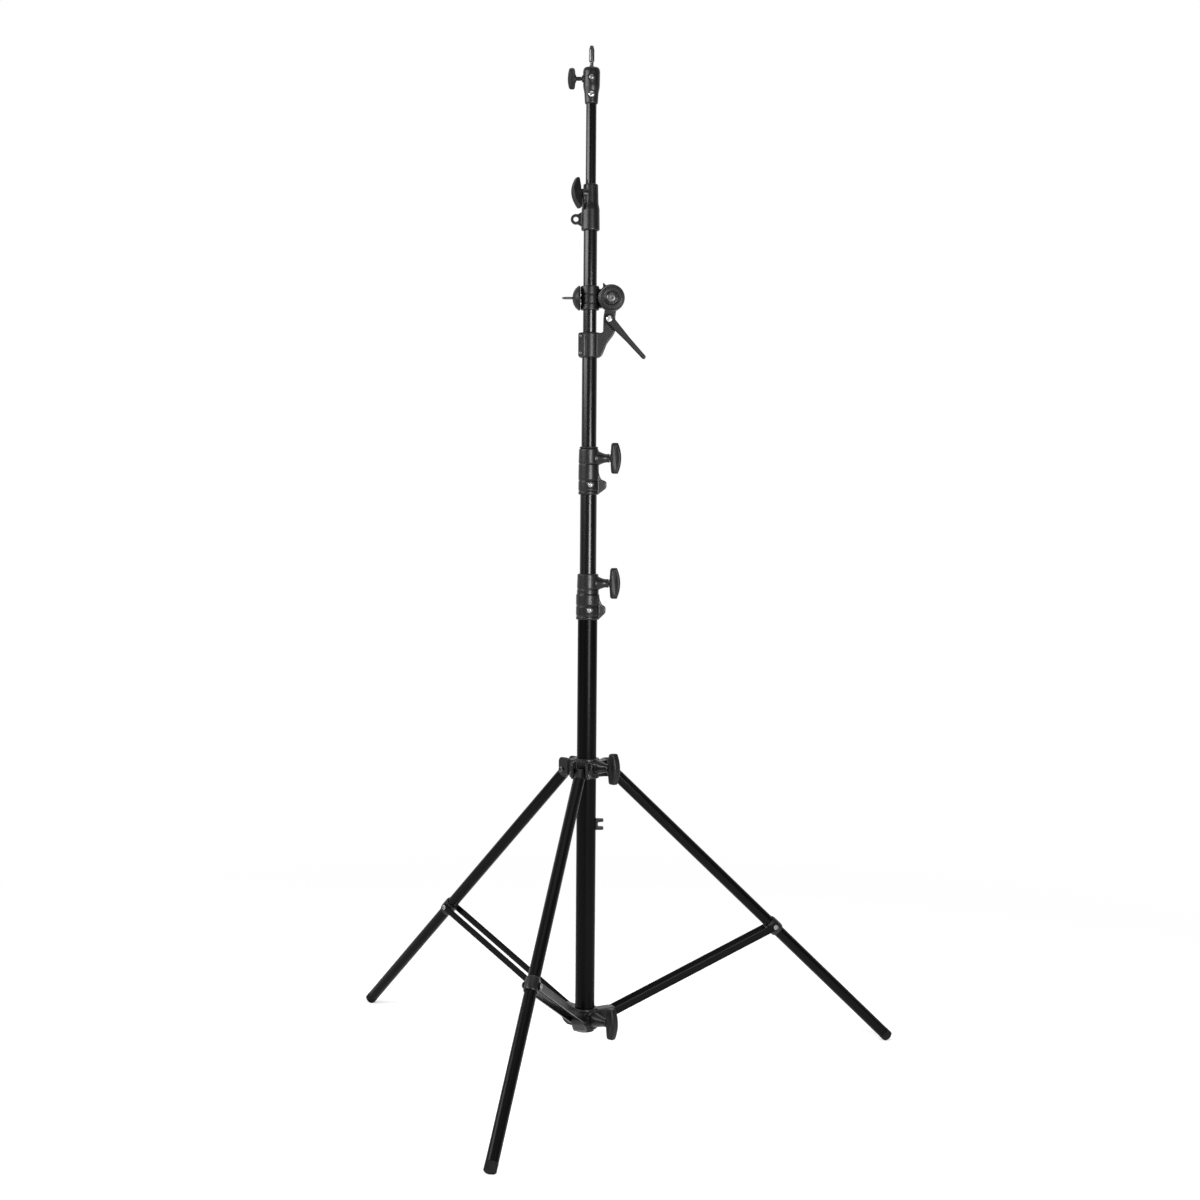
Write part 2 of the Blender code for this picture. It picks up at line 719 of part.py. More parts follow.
def build_head():
    """Head adapter on the thin tube, with its knob, two screws and the top stud."""
    socket_floor = HEAD_BOTTOM + HEAD_SOCKET_DEPTH + GAP
    screw_z = HEAD_BOTTOM + HEAD_SCREW_RISE
    knob_z = HEAD_TOP - HEAD_KNOB_DROP
    body = lathe(
        [
            (0, HEAD_BOTTOM),
            (0.0106, HEAD_BOTTOM),
            (0.0116, HEAD_BOTTOM + 0.0012),
            (0.0128, HEAD_BOTTOM + 0.0200),
            (0.0150, HEAD_BOTTOM + 0.0300),
            (0.0152, HEAD_TOP - 0.0060),
            (0.0136, HEAD_TOP - 0.0012),
            (0.0118, HEAD_TOP),
            (0, HEAD_TOP),
        ]
    )
    body = fuse(
        body,
        shifted(along_x(rod(0.0060, -0.0172, 0.0)), z=knob_z),
        screw_pad(HEAD_LOWER_PAD_Y, screw_z),
        screw_pad(HEAD_UPPER_PAD_Y, knob_z),
    )
    body = carve(
        body,
        rod(SECTION_5_R + GAP, HEAD_BOTTOM - 0.01, socket_floor, CAST_SIDES),
        rod(STUD_R + SLIDE_GAP, HEAD_TOP - STUD_SEAT - 0.0010, HEAD_TOP + 0.01),
        shifted(along_x(rod(0.0031, -0.0300, -0.0075)), z=knob_z),
        screw_hole(HEAD_LOWER_PAD_Y, screw_z),
        screw_hole(HEAD_UPPER_PAD_Y, knob_z),
    )
    place("head_adapter", body, "cast")
    lower_at = (0, HEAD_LOWER_PAD_Y - GAP, screw_z)
    upper_at = (0, HEAD_UPPER_PAD_Y - GAP, knob_z)
    place("head_screw_lower", round_screw(0.0050), "bright", lower_at)
    place("head_screw_upper", round_screw(0.0044), "bright", upper_at)

    grip = t_knob(0.0182, 0.0105, 0.0135)
    stem = along_x(rod(0.0028, -0.0180, -0.0100))
    collar = along_x(rod(0.0034, -0.0105, 0.002))
    knob = fuse(grip, stem, collar)
    lift = (math.radians(HEAD_KNOB_LEAN), 0, math.radians(180))
    place("head_knob", knob, "plastic", (HEAD_KNOB_X, 0, knob_z), lift)

    stud = lathe(
        [
            (0, -STUD_SEAT),
            (STUD_R, -STUD_SEAT),
            (STUD_R, STUD_WAIST_BOTTOM - 0.0015),
            (STUD_WAIST_R, STUD_WAIST_BOTTOM),
            (STUD_WAIST_R, STUD_WAIST_TOP),
            (STUD_R, STUD_WAIST_TOP + 0.0018),
            (STUD_R, STUD_RISE - 0.0075),
            (0.0030, STUD_RISE - 0.0008),
            (0.0022, STUD_RISE),
            (0, STUD_RISE),
        ],
    )
    place("top_stud", stud, "dark_steel", (0, 0, HEAD_TOP))


def ring_casting(half_height, extra_parts):
    """Sleeve round the column, joined to the parts that stand out from it."""
    sleeve = lathe(
        [
            (0, -half_height),
            (SLEEVE_R - 0.0012, -half_height),
            (SLEEVE_R, -half_height + 0.0012),
            (SLEEVE_R, half_height - 0.0012),
            (SLEEVE_R - 0.0012, half_height),
            (0, half_height),
        ]
    )
    return fuse(sleeve, *extra_parts)


def side_boss(height):
    """Boss for a T-knob between the front and the right leg."""
    tip = SIDE_KNOB_R - KNOB_NECK - GAP
    boss = along_x(
        lathe(
            [
                (0, 0.012),
                (0.0125, 0.012),
                (0.0112, 0.0340),
                (0.0078, 0.0440),
                (0.0070, tip),
                (0, tip),
            ],
            24,
        )
    )
    return about_z(shifted(boss, z=height), SIDE_KNOB_AZIMUTH)


def side_knob_hole(height):
    tip = SIDE_KNOB_R - KNOB_NECK - GAP
    return about_z(knob_hole(tip, height), SIDE_KNOB_AZIMUTH)


def place_side_knob(name, height):
    turn = math.radians(SIDE_KNOB_AZIMUTH)
    at = (SIDE_KNOB_R * math.cos(turn), SIDE_KNOB_R * math.sin(turn), height)
    place(name, t_knob(), "plastic", at, (0, 0, turn))


def build_hub():
    """Upper leg casting that slides on the column, with three forks for the legs."""
    pivot_z = LEG_PIVOT_Z - HUB_Z
    knob_height = 0.0040
    forks, slots, holes = [], [], []
    for azimuth in LEG_AZIMUTHS.values():
        fork = prism(
            [
                (0.0120, -0.0150),
                (0.0525, -0.0150),
                (0.0560, -0.0110),
                (0.0560, 0.0120),
                (0.0530, 0.0160),
                (0.0120, 0.0160),
            ],
            -FORK_OUTER,
            FORK_OUTER,
        )
        slot = prism(
            [(0.0345, -0.03), (0.08, -0.03), (0.08, 0.03), (0.0345, 0.03)],
            -FORK_INNER,
            FORK_INNER,
        )
        hole = shifted(along_y(rod(0.0030 + PIN_GAP, -0.03, 0.03)), x=LEG_PIVOT_R, z=pivot_z)
        forks.append(about_z(fork, azimuth))
        slots.append(about_z(slot, azimuth))
        holes.append(about_z(hole, azimuth))
    solid = ring_casting(HUB_HALF_HEIGHT, [*forks, side_boss(knob_height)])
    solid = carve(
        solid,
        rod(COLUMN_R + SLIDE_GAP, -0.04, 0.04, TUBE_SIDES),
        side_knob_hole(knob_height),
        *slots,
        *holes,
    )
    place("leg_hub", solid, "cast", (0, 0, HUB_Z))
    place_side_knob("leg_hub_knob", HUB_Z + knob_height)


def build_spider():
    """Lower casting fixed to the column foot, with an ear for each pair of brace strips."""
    pivot_z = BRACE_PIVOT_Z - SPIDER_Z
    ears = []
    for azimuth in LEG_AZIMUTHS.values():
        ear = prism(
            [
                (0.0185, -0.0175),
                (0.0360, -0.0175),
                (0.0570, 0.0015),
                *arc(BRACE_PIVOT_R, pivot_z, 0.0082, -35, 90, 6),
                (0.0185, pivot_z + 0.0082),
            ],
            -EAR_HALF_WIDTH,
            EAR_HALF_WIDTH,
        )
        ears.append(about_z(ear, azimuth))
    solid = ring_casting(0.0190, [*ears, side_boss(0.0)])
    solid = carve(
        solid,
        rod(COLUMN_R + GAP, -0.04, 0.04, TUBE_SIDES),
        side_knob_hole(0.0),
    )
    place("lower_spider", solid, "cast", (0, 0, SPIDER_Z))
    place_side_knob("lower_spider_knob", SPIDER_Z)


def build_stop_fork():
    """Small forked lug on the column below the hub."""
    outline = [
        (0.0165, -0.0102),
        (0.0312, -0.0102),
        (0.0312, -0.0042),
        (0.0205, -0.0042),
        (0.0205, 0.0042),
        (0.0312, 0.0042),
        (0.0312, 0.0102),
        (0.0165, 0.0102),
    ]
    lug = carve(
        prism(outline, -0.0062, 0.0062),
        rod(COLUMN_R + GAP, -0.03, 0.03, TUBE_SIDES),
    )
    place("column_fork_lug", lug, "cast", (0, 0, FORK_LUG_Z))


def leg_cap():
    """Plug for the top of a leg, round about the pivot; the leg runs along -Z."""
    body = lathe(
        [(0, -LEG_CAP_LENGTH), (LEG_R - 0.0001, -LEG_CAP_LENGTH), (LEG_R - 0.0001, 0.012), (0, 0.012)],
        LEG_SIDES,
    )
    rounded = prism(
        [*arc(0, 0, LEG_R - 0.0002, 0, 180, 10), (-0.02, 0.0), (-0.02, -0.05), (0.02, -0.05), (0.02, 0.0)],
        -0.02,
        0.02,
    )
    body = combine(body, [rounded], "INTERSECT")
    body = fuse(body, rod(LEG_PLUG_R, -LEG_CAP_LENGTH - 0.0180, -0.010, LEG_SIDES))
    return carve(body, along_y(rod(0.0030 + PIN_GAP, -0.02, 0.02)))


def leg_foot(lean, end):
    """Rubber tip, its lower edge cut level with the floor; the origin at the leg pivot."""
    top = -(end - FOOT_LENGTH)
    body = lathe(
        [
            (0, -end),
            (LEG_R - 0.0020, -end),
            (LEG_R, -end + 0.0018),
            (LEG_R + 0.0002, top),
            (LEG_PLUG_R, top),
            (LEG_PLUG_R, top + 0.0180),
            (0, top + 0.0180),
        ],
        LEG_SIDES,
    )
    far = 2 * FOOT_RADIUS
    floor = prism([(0.0, -0.1), (far, -0.1), (far, 0.0), (0.0, 0.0)], -0.05, 0.05)
    to_leg = Matrix.Rotation(lean, 4, "Y") @ Matrix.Translation((-LEG_PIVOT_R, 0, -LEG_PIVOT_Z))
    return carve(body, moved(floor, to_leg))


def brace_clip():
    """Saddle round a leg tube at the brace bolt, flat where the strips pass."""
    ring = lathe(
        [
            (LEG_R + GAP, -0.0130),
            (0.0126, -0.0130),
            (0.0134, -0.0118),
            (0.0134, 0.0118),
            (0.0126, 0.0130),
            (LEG_R + GAP, 0.0130),
        ],
        LEG_SIDES,
    )
    flat = STRIP_INNER - 0.00035
    slab = prism([(-0.02, -0.02), (0.02, -0.02), (0.02, 0.02), (-0.02, 0.02)], -flat, flat)
    ring = combine(ring, [slab], "INTERSECT")
    return carve(ring, along_y(rod(0.0026 + PIN_GAP, -0.02, 0.02)))


def brace_strip(length, side):
    """Flat strip from the leg bolt at the origin along +X to the spider ear."""
    low, high = sorted((side * STRIP_INNER, side * STRIP_OUTER))
    outline = [
        *arc(0, 0, STRIP_HALF_HEIGHT, 90, 270, 8),
        *arc(length, 0, STRIP_HALF_HEIGHT, -90, 90, 8),
    ]
    strip = prism(outline, low, high)
    rivet = lathe(
        [
            (0, 0),
            (0.0044, 0),
            (0.0044, 0.0012),
            (0.0030, 0.0022),
            (0, 0.0022),
        ],
        SCREW_SIDES,
    )
    rivet = shifted(rivet, z=STRIP_OUTER - 0.0004)
    rivet = moved(rivet, Matrix.Rotation(math.radians(-90 * side), 4, "X"))
    strip = fuse(strip, shifted(rivet, x=length))
    return carve(strip, along_y(rod(0.0026 + PIN_GAP, -0.02, 0.02)))


def cross_bolt(shank_r, head_r, grip, head):
    """Bolt along Y with a head beyond the grip on both sides."""
    return along_y(
        lathe(
            [
                (0, -grip - head),
                (head_r * 0.7, -grip - head),
                (head_r, -grip - head * 0.55),
                (head_r, -grip),
                (shank_r, -grip),
                (shank_r, grip),
                (head_r, grip),
                (head_r, grip + head * 0.55),
                (head_r * 0.7, grip + head),
                (0, grip + head),
            ],
            SCREW_SIDES,
        )
    )


def build_legs():
    lean = math.atan2(FOOT_RADIUS - LEG_PIVOT_R, LEG_PIVOT_Z)
    end = (LEG_PIVOT_Z - LEG_END_HEIGHT) / math.cos(lean)
    tube_mesh = carve(
        tube(LEG_R, LEG_BORE, -(end - FOOT_LENGTH) + GAP, -LEG_CAP_LENGTH - GAP, LEG_SIDES),
        shifted(along_y(rod(0.0026 + PIN_GAP, -0.02, 0.02)), z=-BRACE_ALONG_LEG),
    )
    joint_r = LEG_PIVOT_R + BRACE_ALONG_LEG * math.sin(lean)
    joint_z = LEG_PIVOT_Z - BRACE_ALONG_LEG * math.cos(lean)
    span_r, span_z = BRACE_PIVOT_R - joint_r, BRACE_PIVOT_Z - joint_z
    brace_length = math.hypot(span_r, span_z)
    brace_turn = -math.atan2(span_z, span_r)
    for label, azimuth in LEG_AZIMUTHS.items():
        heading = math.radians(azimuth)
        pivot = (LEG_PIVOT_R * math.cos(heading), LEG_PIVOT_R * math.sin(heading), LEG_PIVOT_Z)
        leg = frame(f"leg_{label}_frame", pivot, (0, -lean, heading))
        place(f"leg_{label}_tube", tube_mesh.copy(), "tube", parent=leg)
        place(f"leg_{label}_cap", leg_cap(), "cast", parent=leg)
        place(f"leg_{label}_foot", leg_foot(lean, end), "rubber", parent=leg)
        place(f"leg_{label}_clip", brace_clip(), "cast", (0, 0, -BRACE_ALONG_LEG), parent=leg)
        bolt = cross_bolt(0.0026, 0.0049, STRIP_OUTER + GAP, 0.0026)
        place(f"leg_{label}_brace_bolt", bolt, "bright", (0, 0, -BRACE_ALONG_LEG), parent=leg)
        pin = cross_bolt(0.0030, 0.0055, FORK_OUTER + GAP, 0.0030)
        place(f"leg_{label}_pivot_bolt", pin, "dark_steel", pivot, (0, 0, heading))
        joint = (joint_r * math.cos(heading), joint_r * math.sin(heading), joint_z)
        brace = frame(f"brace_{label}_frame", joint, (0, brace_turn, heading))
        for side, letter in ((1, "a"), (-1, "b")):
            strip = brace_strip(brace_length, side)
            place(f"brace_{label}_strip_{letter}", strip, "tube", parent=brace)


def main():
    clear_scene()
    build_mast()
    build_bracket()
    build_boom()
    build_head()
    build_hub()
    build_spider()
    build_stop_fork()
    build_legs()


main()
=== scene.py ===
"""Finish of the rotatable light stand: tubes, cast collars and joints, knobs, screws and their surfaces.

Metres, +Z up, the mast on the Z axis and the floor at z = 0, as in the solids that it dresses.
"""

import json
import math

import bmesh
import bpy
from mathutils import Matrix, Vector


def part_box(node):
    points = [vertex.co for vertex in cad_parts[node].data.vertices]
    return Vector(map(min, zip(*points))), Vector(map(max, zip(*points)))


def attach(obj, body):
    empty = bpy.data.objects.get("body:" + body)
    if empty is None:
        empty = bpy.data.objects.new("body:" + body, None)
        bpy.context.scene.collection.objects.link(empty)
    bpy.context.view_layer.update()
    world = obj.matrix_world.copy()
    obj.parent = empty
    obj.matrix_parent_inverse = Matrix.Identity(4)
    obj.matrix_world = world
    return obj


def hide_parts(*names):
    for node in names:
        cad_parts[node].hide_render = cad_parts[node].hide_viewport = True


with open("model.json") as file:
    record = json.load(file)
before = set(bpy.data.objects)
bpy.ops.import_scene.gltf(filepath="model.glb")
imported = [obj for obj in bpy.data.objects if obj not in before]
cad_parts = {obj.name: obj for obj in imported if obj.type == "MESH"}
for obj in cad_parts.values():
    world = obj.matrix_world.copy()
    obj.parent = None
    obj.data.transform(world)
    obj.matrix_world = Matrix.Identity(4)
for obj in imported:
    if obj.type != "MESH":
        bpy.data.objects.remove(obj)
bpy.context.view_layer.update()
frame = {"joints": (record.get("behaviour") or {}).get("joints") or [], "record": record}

UP = Vector((0, 0, 1))

# Clearances and walls
SLIDE_GAP = 0.00035
PIN_GAP = 0.0003
CASTING_WALL = 0.0031
COLUMN_WALL = 0.0016
TUBE_BORES = {
    "column_tube": 0.0159,
    "section_2_tube": 0.01375,
    "section_3_tube": 0.0125,
    "boom_tube": 0.0109,
    "section_5_tube": 0.0080,
}
LEG_BORE = 0.0090

# Roundness
TURN_STEPS = 80
COLUMN_STEPS = 96
SCREW_STEPS = 40
CORNER_STEPS = 4
KEY_SIDES = 6
SHARP_ANGLE = 40
CAST_GRAIN = 0.00062
KNOB_GRAIN = 0.00050
SMALL_GRAIN = 0.00042

# Collars on the mast
COLLAR_HEIGHT = 0.0820
COLLAR_UPPER_DEPTH = 0.0360
COLLAR_NOSE_DROP = 0.0645
COLLAR_SCREW_X = 0.0030
BOSS_TIP_X = 0.0372
PAD_R, PAD_HOLE_R, PAD_RISE = 0.0066, 0.0026, 0.0024
GROOVE_DEPTH, GROOVE_HALF_WIDTH = 0.0010, 0.0010
BUSH_WALL = 0.0010

# Knobs, screws and pins
KNOB_NECK_R, KNOB_NECK = 0.0068, 0.0014
KNOB_SCREW_R, KNOB_HOLE_DEPTH = 0.0030, 0.0109
SCREW_SHANK_R, SCREW_SHANK = 0.0022, 0.0030
PIVOT_PIN_R, BRACE_BOLT_R = 0.0030, 0.0026

# Swivel
BRACKET_HEIGHT, BRACKET_ROOF = 0.0443, 0.0062
DISC_R, DISC_FRONT, DISC_BACK = 0.0238, -0.0155, -0.0013
CLAMP_R, CLAMP_HALF_HEIGHT = 0.0165, 0.0215
CLAMP_DISC_R, CLAMP_DISC_BACK = 0.0220, 0.0130
PIVOT_BOLT_R = 0.0040
LEVER_REACH_X, LEVER_REACH_Z = 0.0610, 0.0663
LUG_X, LUG_Y, LUG_SCREW_INSET = -0.0162, -0.0180, 0.0072
WING_BACK = 0.0188

# Head
HEAD_SCREW_RISE = 0.0149
HEAD_PADS = (-0.0153, -0.0166)
HEAD_SOCKET_DEPTH = 0.0280
STUD_R, STUD_SEAT, STUD_RISE = 0.0048, 0.0190, 0.0384

# Leg set
SLEEVE_R = 0.0228
LEG_R, LEG_PLUG_R = 0.0105, 0.0084
LEG_CAP_LENGTH, FOOT_LENGTH, LEG_END_HEIGHT = 0.0140, 0.0140, 0.0055
FORK_INNER, FORK_OUTER = 0.0110, 0.0155
STRIP_INNER, STRIP_OUTER, STRIP_HALF_HEIGHT = 0.01175, 0.01425, 0.0063
BRACE_FOOT_R, BRACE_FOOT_Z = 0.0510, 0.0940
EAR_HALF_WIDTH, SPIDER_HALF_HEIGHT = 0.0113, 0.0190
SIDE_KNOB_R, SIDE_KNOB_AZIMUTH = 0.0580, -43.65
SIDE_BOSS_TIP = SIDE_KNOB_R - KNOB_NECK - PIN_GAP
HUB_KNOB_RISE = 0.0040
LEG_NAMES = ("front", "right", "left")

# Finish
WORN_COLOUR = (0.09, 0.09, 0.09)

# Studio
WORLD_LIGHT = 0.35
ROOM_LEVEL, ROOM_FULL, ROOM_END = 0.10, -0.05, 0.65
FLOOR_LIFT = 0.31
FLOOR_GLOW = 0.8
SHADOW_FULL, SHADOW_END = 0.75, 2.2

joints = {joint["name"]: joint for joint in frame["joints"]}
body_of = {
    node: body for body, nodes in frame["record"]["behaviour"]["bodies"].items() for node in nodes
}


def joint_at(name):
    return Vector(joints[name]["pos_m"])


# Shapes


def mesh_of(bm):
    """Closed mesh with its faces pointing out."""
    bmesh.ops.remove_doubles(bm, verts=bm.verts, dist=1e-7)
    bmesh.ops.recalc_face_normals(bm, faces=bm.faces)
    if bm.calc_volume(signed=True) < 0:
        bmesh.ops.reverse_faces(bm, faces=bm.faces)
    mesh = bpy.data.meshes.new("shape")
    bm.to_mesh(mesh)
    bm.free()
    return mesh


def softened(points, radius, closed):
    """The same line in two dimensions with a small curve at each corner."""
    line = []
    for i, point in enumerate(points):
        here = Vector(point)
        if not closed and i in (0, len(points) - 1):
            line.append(here)
            continue
        before = Vector(points[i - 1]) - here
        after = Vector(points[(i + 1) % len(points)]) - here
        start = here + before * min(0.45, radius / before.length)
        end = here + after * min(0.45, radius / after.length)
        for k in range(CORNER_STEPS + 1):
            t = k / CORNER_STEPS
            line.append(start * (1 - t) ** 2 + here * 2 * t * (1 - t) + end * t * t)
    return line


def turned(profile, rounding=0.0008, steps=TURN_STEPS):
    """Turned about Z from radius and height pairs: a solid if it starts on the axis, else a ring."""
    solid = profile[0][0] == 0
    line = softened(profile, rounding, closed=not solid)
    rim = line[1:-1] if solid else line
    bm = bmesh.new()
    verts = [bm.verts.new((point[0], 0, point[1])) for point in rim]
    edges = [bm.edges.new(pair) for pair in zip(verts, verts[1:])]
    if not solid:
        edges.append(bm.edges.new((verts[-1], verts[0])))
    bmesh.ops.spin(
        bm,
        geom=verts + edges,
        cent=(0, 0, 0),
        axis=(0, 0, 1),
        angle=math.tau,
        steps=steps,
        use_merge=True,
    )
    bmesh.ops.remove_doubles(bm, verts=bm.verts, dist=1e-7)
    bmesh.ops.holes_fill(bm, edges=[edge for edge in bm.edges if edge.is_boundary], sides=0)
    return mesh_of(bm)


def rod(radius, low, high, rounding=0.0, steps=SCREW_STEPS):
    return turned([(0, low), (radius, low), (radius, high), (0, high)], rounding + 1e-5, steps)


def arc(x, z, radius, start, end, steps):
    """Points on a circle, angles in degrees from +X towards +Z."""
    angles = [math.radians(start + (end - start) * i / steps) for i in range(steps + 1)]
    return [(x + radius * math.cos(a), z + radius * math.sin(a)) for a in angles]


def rectangle(left, bottom, right, top):
    """Corners in X and Z, from the lower left one round."""
    return [(left, bottom), (right, bottom), (right, top), (left, top)]


def drawn(outline, low, high, rounding=0.0, edge=0.0, segments=4):
    """Outline in X and Z drawn out along Y, its corners and then its edges rounded."""
    line = softened(outline, rounding, closed=True) if rounding else outline
    bm = bmesh.new()
    face = bm.faces.new([bm.verts.new((point[0], low, point[1])) for point in line])
    copy = bmesh.ops.extrude_face_region(bm, geom=[face])
    far = [item for item in copy["geom"] if isinstance(item, bmesh.types.BMVert)]
    bmesh.ops.translate(bm, verts=far, vec=(0, high - low, 0))
    bm.normal_update()
    if edge:
        rims = [e for e in bm.edges if len(e.link_faces) == 2 and e.calc_face_angle() > 1.2]
        bmesh.ops.bevel(
            bm,
            geom=rims,
            offset=edge,
            segments=segments,
            profile=0.5,
            affect="EDGES",
            material=-1,
        )
    return mesh_of(bm)


def moved(mesh, matrix):
    mesh.transform(matrix)
    return mesh


def shifted(mesh, x=0.0, y=0.0, z=0.0):
    return moved(mesh, Matrix.Translation((x, y, z)))


def about(mesh, axis, degrees):
    return moved(mesh, Matrix.Rotation(math.radians(degrees), 4, axis))


def along_x(mesh):
    """A shape made along +Z, now along +X."""
    return about(mesh, "Y", 90)


def along_y(mesh):
    """A shape made along +Z, now along +Y."""
    return about(mesh, "X", -90)


def linked(mesh):
    obj = bpy.data.objects.new("workpiece", mesh)
    bpy.context.scene.collection.objects.link(obj)
    return obj


def evaluated(host, *helpers):
    """Mesh of the host with its modifiers applied; the host and its helpers are removed."""
    graph = bpy.context.evaluated_depsgraph_get()
    result = bpy.data.meshes.new_from_object(host.evaluated_get(graph))
    for obj in (host, *helpers):
        bpy.data.objects.remove(obj, do_unlink=True)
    return result


def combined(base, others, operation):
    """Exact Boolean of the base with all of the others at once."""
    host = linked(base)
    helpers = [linked(mesh) for mesh in others]
    group = bpy.data.collections.new("helpers")
    for helper in helpers:
        group.objects.link(helper)
    modifier = host.modifiers.new("combine", "BOOLEAN")
    modifier.operation = operation
    modifier.solver = "EXACT"
    modifier.operand_type = "COLLECTION"
    modifier.collection = group
    result = evaluated(host, *helpers)
    bpy.data.collections.remove(group)
    return result


def boxes_meet(one, other):
    """Whether the bounding boxes of two meshes overlap on every axis."""
    for axis in range(3):
        spans = [[vert.co[axis] for vert in mesh.vertices] for mesh in (one, other)]
        if max(spans[0]) < min(spans[1]) or max(spans[1]) < min(spans[0]):
            return False
    return True


def cast(adds, cuts=(), grain=CAST_GRAIN, soften=5):
    """One cast skin: each shape bored, then all run together, with soft edges and roots."""
    bm = bmesh.new()
    for mesh in adds:
        bores = [cutter.copy() for cutter in cuts if boxes_meet(mesh, cutter)]
        bm.from_mesh(combined(mesh, bores, "DIFFERENCE") if bores else mesh)
    shape = bpy.data.meshes.new("shape")
    bm.to_mesh(shape)
    bm.free()
    host = linked(shape)
    skin = host.modifiers.new("skin", "REMESH")
    skin.mode = "VOXEL"
    skin.voxel_size = grain
    smooth = host.modifiers.new("soften", "SMOOTH")
    smooth.factor = 0.5
    smooth.iterations = soften
    return evaluated(host)


def dress(node, mesh, material):
    """Add the finished piece that stands for one solid, on its body and in its finish slot."""
    mesh.shade_smooth()
    mesh.set_sharp_from_angle(angle=math.radians(SHARP_ANGLE))
    mesh.name = "made_" + node
    mesh.materials.clear()
    mesh.materials.append(material)
    piece = bpy.data.objects.new("made_" + node, mesh)
    bpy.context.scene.collection.objects.link(piece)
    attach(piece, body_of[node])
    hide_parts(node)


# Surfaces


def ramp(nodes, links, value, start, end, low=0.0, high=1.0):
    """Output that runs from low to high while the value runs from start to end."""
    node = nodes.new("ShaderNodeMapRange")
    node.inputs["From Min"].default_value = start
    node.inputs["From Max"].default_value = end
    node.inputs["To Min"].default_value = low
    node.inputs["To Max"].default_value = high
    links.new(value, node.inputs["Value"])
    return node.outputs["Result"]


def maths(nodes, links, operation, one, other):
    """Output of one operation on two others."""
    node = nodes.new("ShaderNodeMath")
    node.operation = operation
    links.new(one, node.inputs[0])
    links.new(other, node.inputs[1])
    return node.outputs["Value"]


def surface(
    name,
    colours,
    metallic,
    roughness,
    specular,
    grain,
    bump,
    stretch=1.0,
    axis=None,
    wear=0.0,
):
    """Finish with mottled colour, uneven gloss and a fine relief, worn lighter on its edges.

    Grain is the size of the finest marks in metres; stretch draws them out along the axis.
    """
    material = bpy.data.materials.new(name)
    material.use_nodes = True
    nodes = material.node_tree.nodes
    links = material.node_tree.links
    shader = nodes["Principled BSDF"]
    shader.inputs["Metallic"].default_value = metallic
    shader.inputs["Specular IOR Level"].default_value = specular
    coords = nodes.new("ShaderNodeTexCoord")
    mapping = nodes.new("ShaderNodeMapping")
    mapping.vector_type = "TEXTURE"
    mapping.inputs["Scale"].default_value = (1.0, 1.0, stretch)
    if axis is not None:
        mapping.inputs["Rotation"].default_value = UP.rotation_difference(axis).to_euler()
    links.new(coords.outputs["Object"], mapping.inputs["Vector"])

    def noise(scale, detail):
        node = nodes.new("ShaderNodeTexNoise")
        node.inputs["Scale"].default_value = scale
        node.inputs["Detail"].default_value = detail
        links.new(mapping.outputs["Vector"], node.inputs["Vector"])
        return node.outputs["Fac"]

    fine = noise(1.0 / grain, 4.0)
    broad = noise(0.045 / grain, 5.0)
    tint = nodes.new("ShaderNodeMix")
    tint.data_type = "RGBA"
    tint.inputs["A"].default_value = (*colours[0], 1.0)
    tint.inputs["B"].default_value = (*colours[1], 1.0)
    spread = ramp(nodes, links, broad, 0.35, 0.65)
    links.new(spread, tint.inputs["Factor"])
    colour = tint.outputs["Result"]
    if wear:
        geometry = nodes.new("ShaderNodeNewGeometry")
        edge = ramp(nodes, links, geometry.outputs["Pointiness"], 0.53, 0.64, high=wear)
        worn = nodes.new("ShaderNodeMix")
        worn.data_type = "RGBA"
        worn.inputs["B"].default_value = (*WORN_COLOUR, 1.0)
        links.new(colour, worn.inputs["A"])
        links.new(maths(nodes, links, "MULTIPLY", edge, spread), worn.inputs["Factor"])
        colour = worn.outputs["Result"]
    links.new(colour, shader.inputs["Base Color"])
    gloss = ramp(nodes, links, fine, 0.0, 1.0, *roughness)
    links.new(gloss, shader.inputs["Roughness"])
    relief = nodes.new("ShaderNodeBump")
    relief.inputs["Strength"].default_value = bump
    relief.inputs["Distance"].default_value = grain * 0.2
    links.new(fine, relief.inputs["Height"])
    links.new(relief.outputs["Normal"], shader.inputs["Normal"])
    return material


def tube_finish(name, axis, shade=1.0):
    """Black anodised tube with fine draw lines along its axis."""
    dark = (0.0012, 0.0012, 0.0014)
    light = (0.0030, 0.0030, 0.0034)
    return surface(name, (dark, light), 0.0, (0.20, 0.28), 0.25 * shade, 0.0006, 0.03, 45.0, axis)


def enamel_finish(name):
    """Black enamel over a die casting, its edges rubbed."""
    colours = ((0.0020, 0.0020, 0.0022), (0.0056, 0.0056, 0.0060))
    return surface(name, colours, 0.0, (0.28, 0.44), 0.29, 0.0011, 0.20, wear=0.45)


def knob_finish(name):
    """Black moulded plastic with a fine texture."""
    colours = ((0.0018, 0.0018, 0.0018), (0.0048, 0.0048, 0.0048))
    return surface(name, colours, 0.0, (0.36, 0.50), 0.22, 0.0005, 0.20, wear=0.25)


def rubber_finish(name):
    colours = ((0.0035, 0.0035, 0.0035), (0.0090, 0.0087, 0.0082))
    return surface(name, colours, 0.0, (0.70, 0.88), 0.12, 0.0008, 0.45)


def steel_finish(name, shade, roughness):
    colours = ((shade * 0.85,) * 3, (shade,) * 3)
    return surface(name, colours, 1.0, roughness, 0.5, 0.0004, 0.08)


